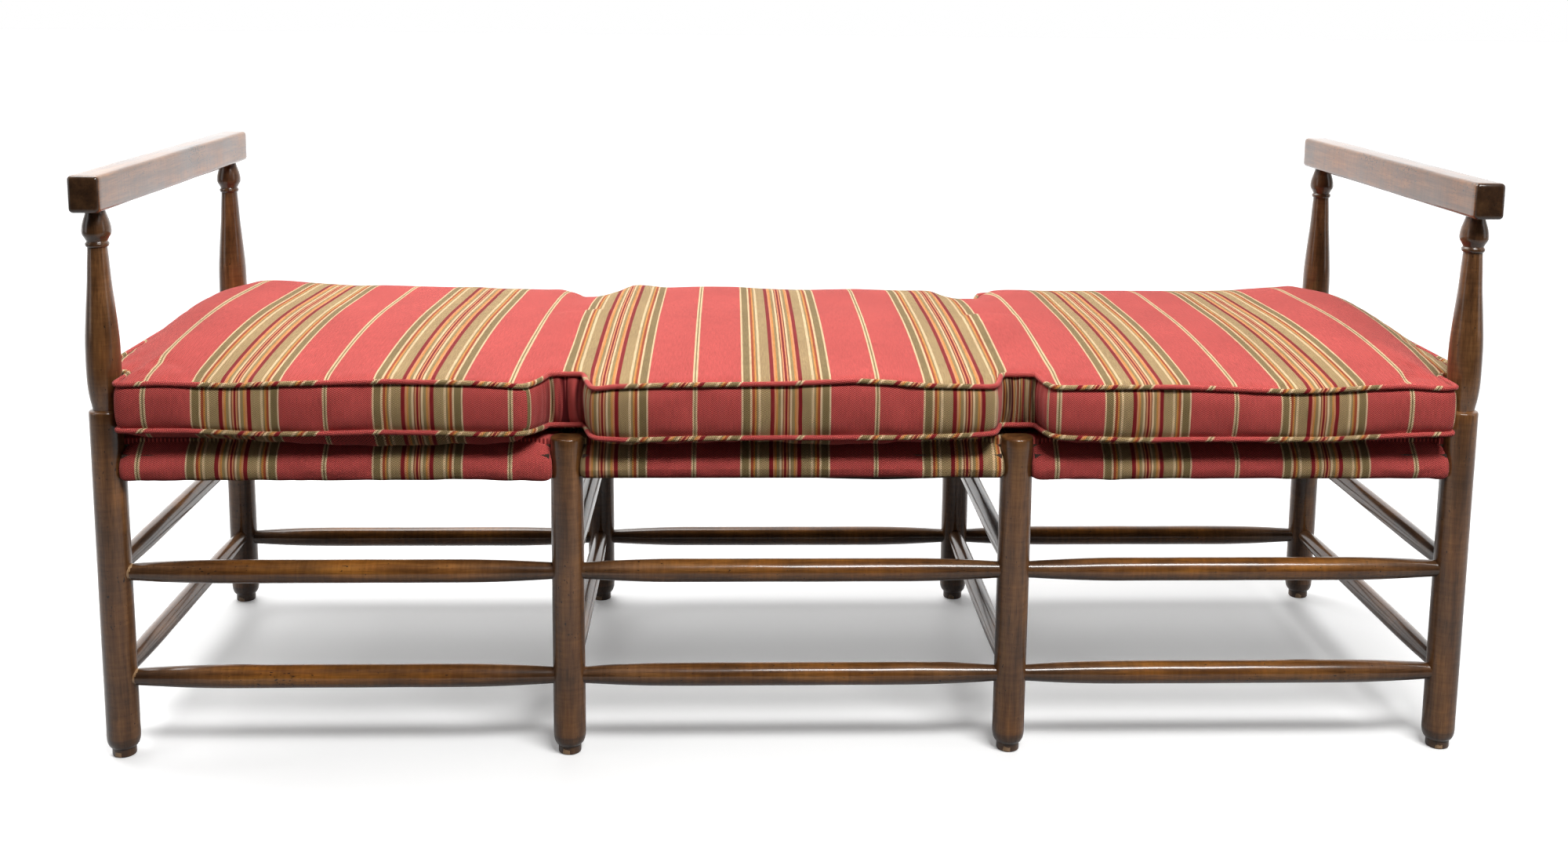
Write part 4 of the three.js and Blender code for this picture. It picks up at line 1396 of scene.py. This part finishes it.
# %% [markdown]
# The room is a pale floor under soft studio light. A wide panel overhead, to the left and a
# little behind, brightens the cushion's top. A narrower one, high in front and to the right,
# lights the cloth's face, and two dim ones edge the turned legs. The surround brightens
# towards the back, so that polished wood facing the camera mirrors a dark room, and is plain
# white where the camera sees past the floor. The floor differs by ray too: it is burnt out to
# white for the camera further off, throws little light back up, and shines in reflections
# only behind the bench.

# %% Floor and light
FLOOR_SIZE = 60.0
SURROUND_BEHIND, SURROUND_AHEAD = 1.4, 0.015
GLOSS_BEHIND = 1.6
WHITE = (1.0, 1.0, 1.0, 1.0)
FLOOR_TINT = [(0.3, (0.9, 0.9, 0.9)), (0.7, (0.93, 0.93, 0.925))]
FLOOR_BOUNCE = (0.05, 0.05, 0.05, 1.0)
FLOOR_UNLIT = (0.01, 0.01, 0.01, 1.0)
FLOOR_SEEN, FLOOR_MIRRORED = (0.16, 0.7), (0.0, 1.2)
FAR_SPAN, DEPTH_SPAN = 9.0, 6.0
ROOM_PACE, ROOM_STOPS = -0.3, [(0.27, 0.4), (0.66, 1.0)]
SOFTBOXES = [  # name, place, aim, width, height, power
    ("overhead", (-1.1, 0.85, 2.7), (-0.1, 0.05, 0.4), 2.6, 1.7, 88),
    ("left_side", (-2.7, -1.0, 1.2), (-0.4, 0, 0.4), 0.9, 1.8, 7),
    ("right_side", (2.7, -1.0, 1.2), (0.4, 0, 0.4), 0.9, 1.8, 7),
    ("front", (0.9, -2.0, 3.0), (0.1, 0, 0.4), 1.8, 0.7, 120),
]


def floor():
    half = FLOOR_SIZE / 2
    mesh = bpy.data.meshes.new("floor")
    square = [(-half, -half, 0), (half, -half, 0), (half, half, 0), (-half, half, 0)]
    mesh.from_pydata(square, [], [(0, 1, 2, 3)])
    material, tree, shader = new_material("pale_floor", Roughness=0.5, Specular_IOR_Level=0.25)
    place = own_place(tree)
    tint = ramp(tree, cloudy(tree, place, (0.8, 0.8, 0.8)), FLOOR_TINT)
    rays = add_node(tree, "ShaderNodeLightPath").outputs
    depth = add_node(tree, "ShaderNodeSeparateXYZ", {0: place}).outputs[1]
    room = ramp(tree, calc(tree, "MULTIPLY", depth, ROOM_PACE), ROOM_STOPS)
    bounced = blend_colours(tree, rays["Is Diffuse Ray"], tint, FLOOR_BOUNCE)
    mirrored = calc(tree, "MULTIPLY", room, rays["Is Glossy Ray"])
    tree.links.new(blend_colours(tree, mirrored, bounced, FLOOR_UNLIT), shader.inputs["Base Color"])
    reach = add_node(tree, "ShaderNodeVectorMath", {0: place}, operation="LENGTH").outputs["Value"]
    far = ramp(tree, calc(tree, "DIVIDE", reach, FAR_SPAN), [(0.2, 0.0), (0.5, 1.0)])
    behind = ramp(tree, calc(tree, "DIVIDE", depth, DEPTH_SPAN), [(0.0, 0.0), (0.5, 1.0)])
    glow = 0.0
    kinds = (("Is Camera Ray", far, FLOOR_SEEN), ("Is Glossy Ray", behind, FLOOR_MIRRORED))
    for ray, share, (least, most) in kinds:
        amount = calc(tree, "MULTIPLY_ADD", share, most - least, least)
        glow = calc(tree, "MULTIPLY_ADD", amount, rays[ray], glow)
    shader.inputs["Emission Color"].default_value = WHITE
    tree.links.new(glow, shader.inputs["Emission Strength"])
    mesh.materials.append(material)
    show("floor", mesh)


def softbox(name, place, aim, width, height, power):
    light = bpy.data.lights.new(name, "AREA")
    light.shape = "RECTANGLE"
    light.size, light.size_y, light.energy = width, height, power
    lamp = show(name, light)
    lamp.location = place
    lamp.rotation_euler = (Vector(aim) - Vector(place)).to_track_quat("-Z", "Y").to_euler()


def surround():
    world = bpy.data.worlds.new("surround")
    world.use_nodes = True
    tree = world.node_tree
    lit = tree.nodes["Background"]
    lit.inputs["Color"].default_value = WHITE
    direction = add_node(tree, "ShaderNodeTexCoord").outputs["Generated"]
    ahead = add_node(tree, "ShaderNodeSeparateXYZ", {0: direction}).outputs["Y"]
    behind_share = calc(tree, "MULTIPLY_ADD", ahead, 0.5, 0.5)
    squared = calc(tree, "MULTIPLY", behind_share, behind_share)
    cubed = calc(tree, "MULTIPLY", squared, behind_share)
    strength = calc(tree, "MULTIPLY_ADD", cubed, SURROUND_BEHIND - SURROUND_AHEAD, SURROUND_AHEAD)
    mirrored = calc(tree, "MULTIPLY_ADD", squared, GLOSS_BEHIND - SURROUND_AHEAD, SURROUND_AHEAD)
    rays = add_node(tree, "ShaderNodeLightPath").outputs
    extra = calc(tree, "MULTIPLY", calc(tree, "SUBTRACT", mirrored, strength), rays["Is Glossy Ray"])
    tree.links.new(calc(tree, "ADD", strength, extra), lit.inputs["Strength"])
    seen = add_node(tree, "ShaderNodeBackground", {"Color": WHITE, "Strength": 1.0}).outputs[0]
    mixed = add_node(tree, "ShaderNodeMixShader", {0: rays["Is Camera Ray"], 1: lit.outputs[0], 2: seen})
    tree.links.new(mixed.outputs[0], tree.nodes["World Output"].inputs["Surface"])
    scene.world = world


floor()
surround()
for box in SOFTBOXES:
    softbox(*box)
scene.view_settings.view_transform = "Standard"

# %% [markdown]
# The camera stands a little left of the middle, at the height of a seated person's eyes, and
# looks slightly down. The picture was framed by sliding the lens down rather than tilting,
# which keeps the legs upright: half of that slide is kept here, so other views stay in frame.

# %% Camera
LENS, FILM_WIDTH = 37.66, 36.0
CAMERA_PLACE = Vector((-0.0827, -2.2655, 0.9768))
PITCH, YAW, ROLL = 0.1521, 0.0345, 0.0094
LENS_SLIDE = -0.12


def place_camera():
    ahead = Vector((math.sin(YAW) * math.cos(PITCH), math.cos(YAW) * math.cos(PITCH), -math.sin(PITCH)))
    level = Vector((ahead.y, -ahead.x, 0)).normalized()
    upward = level.cross(ahead)
    right = level * math.cos(ROLL) + upward * math.sin(ROLL)
    up = upward * math.cos(ROLL) - level * math.sin(ROLL)
    turn = Matrix((right, up, -ahead)).transposed()
    data = bpy.data.cameras.new("camera")
    data.lens = LENS
    data.sensor_width = FILM_WIDTH
    data.shift_y = LENS_SLIDE
    camera = show("camera", data)
    camera.matrix_world = Matrix.Translation(CAMERA_PLACE) @ turn.to_4x4()
    scene.camera = camera


place_camera()
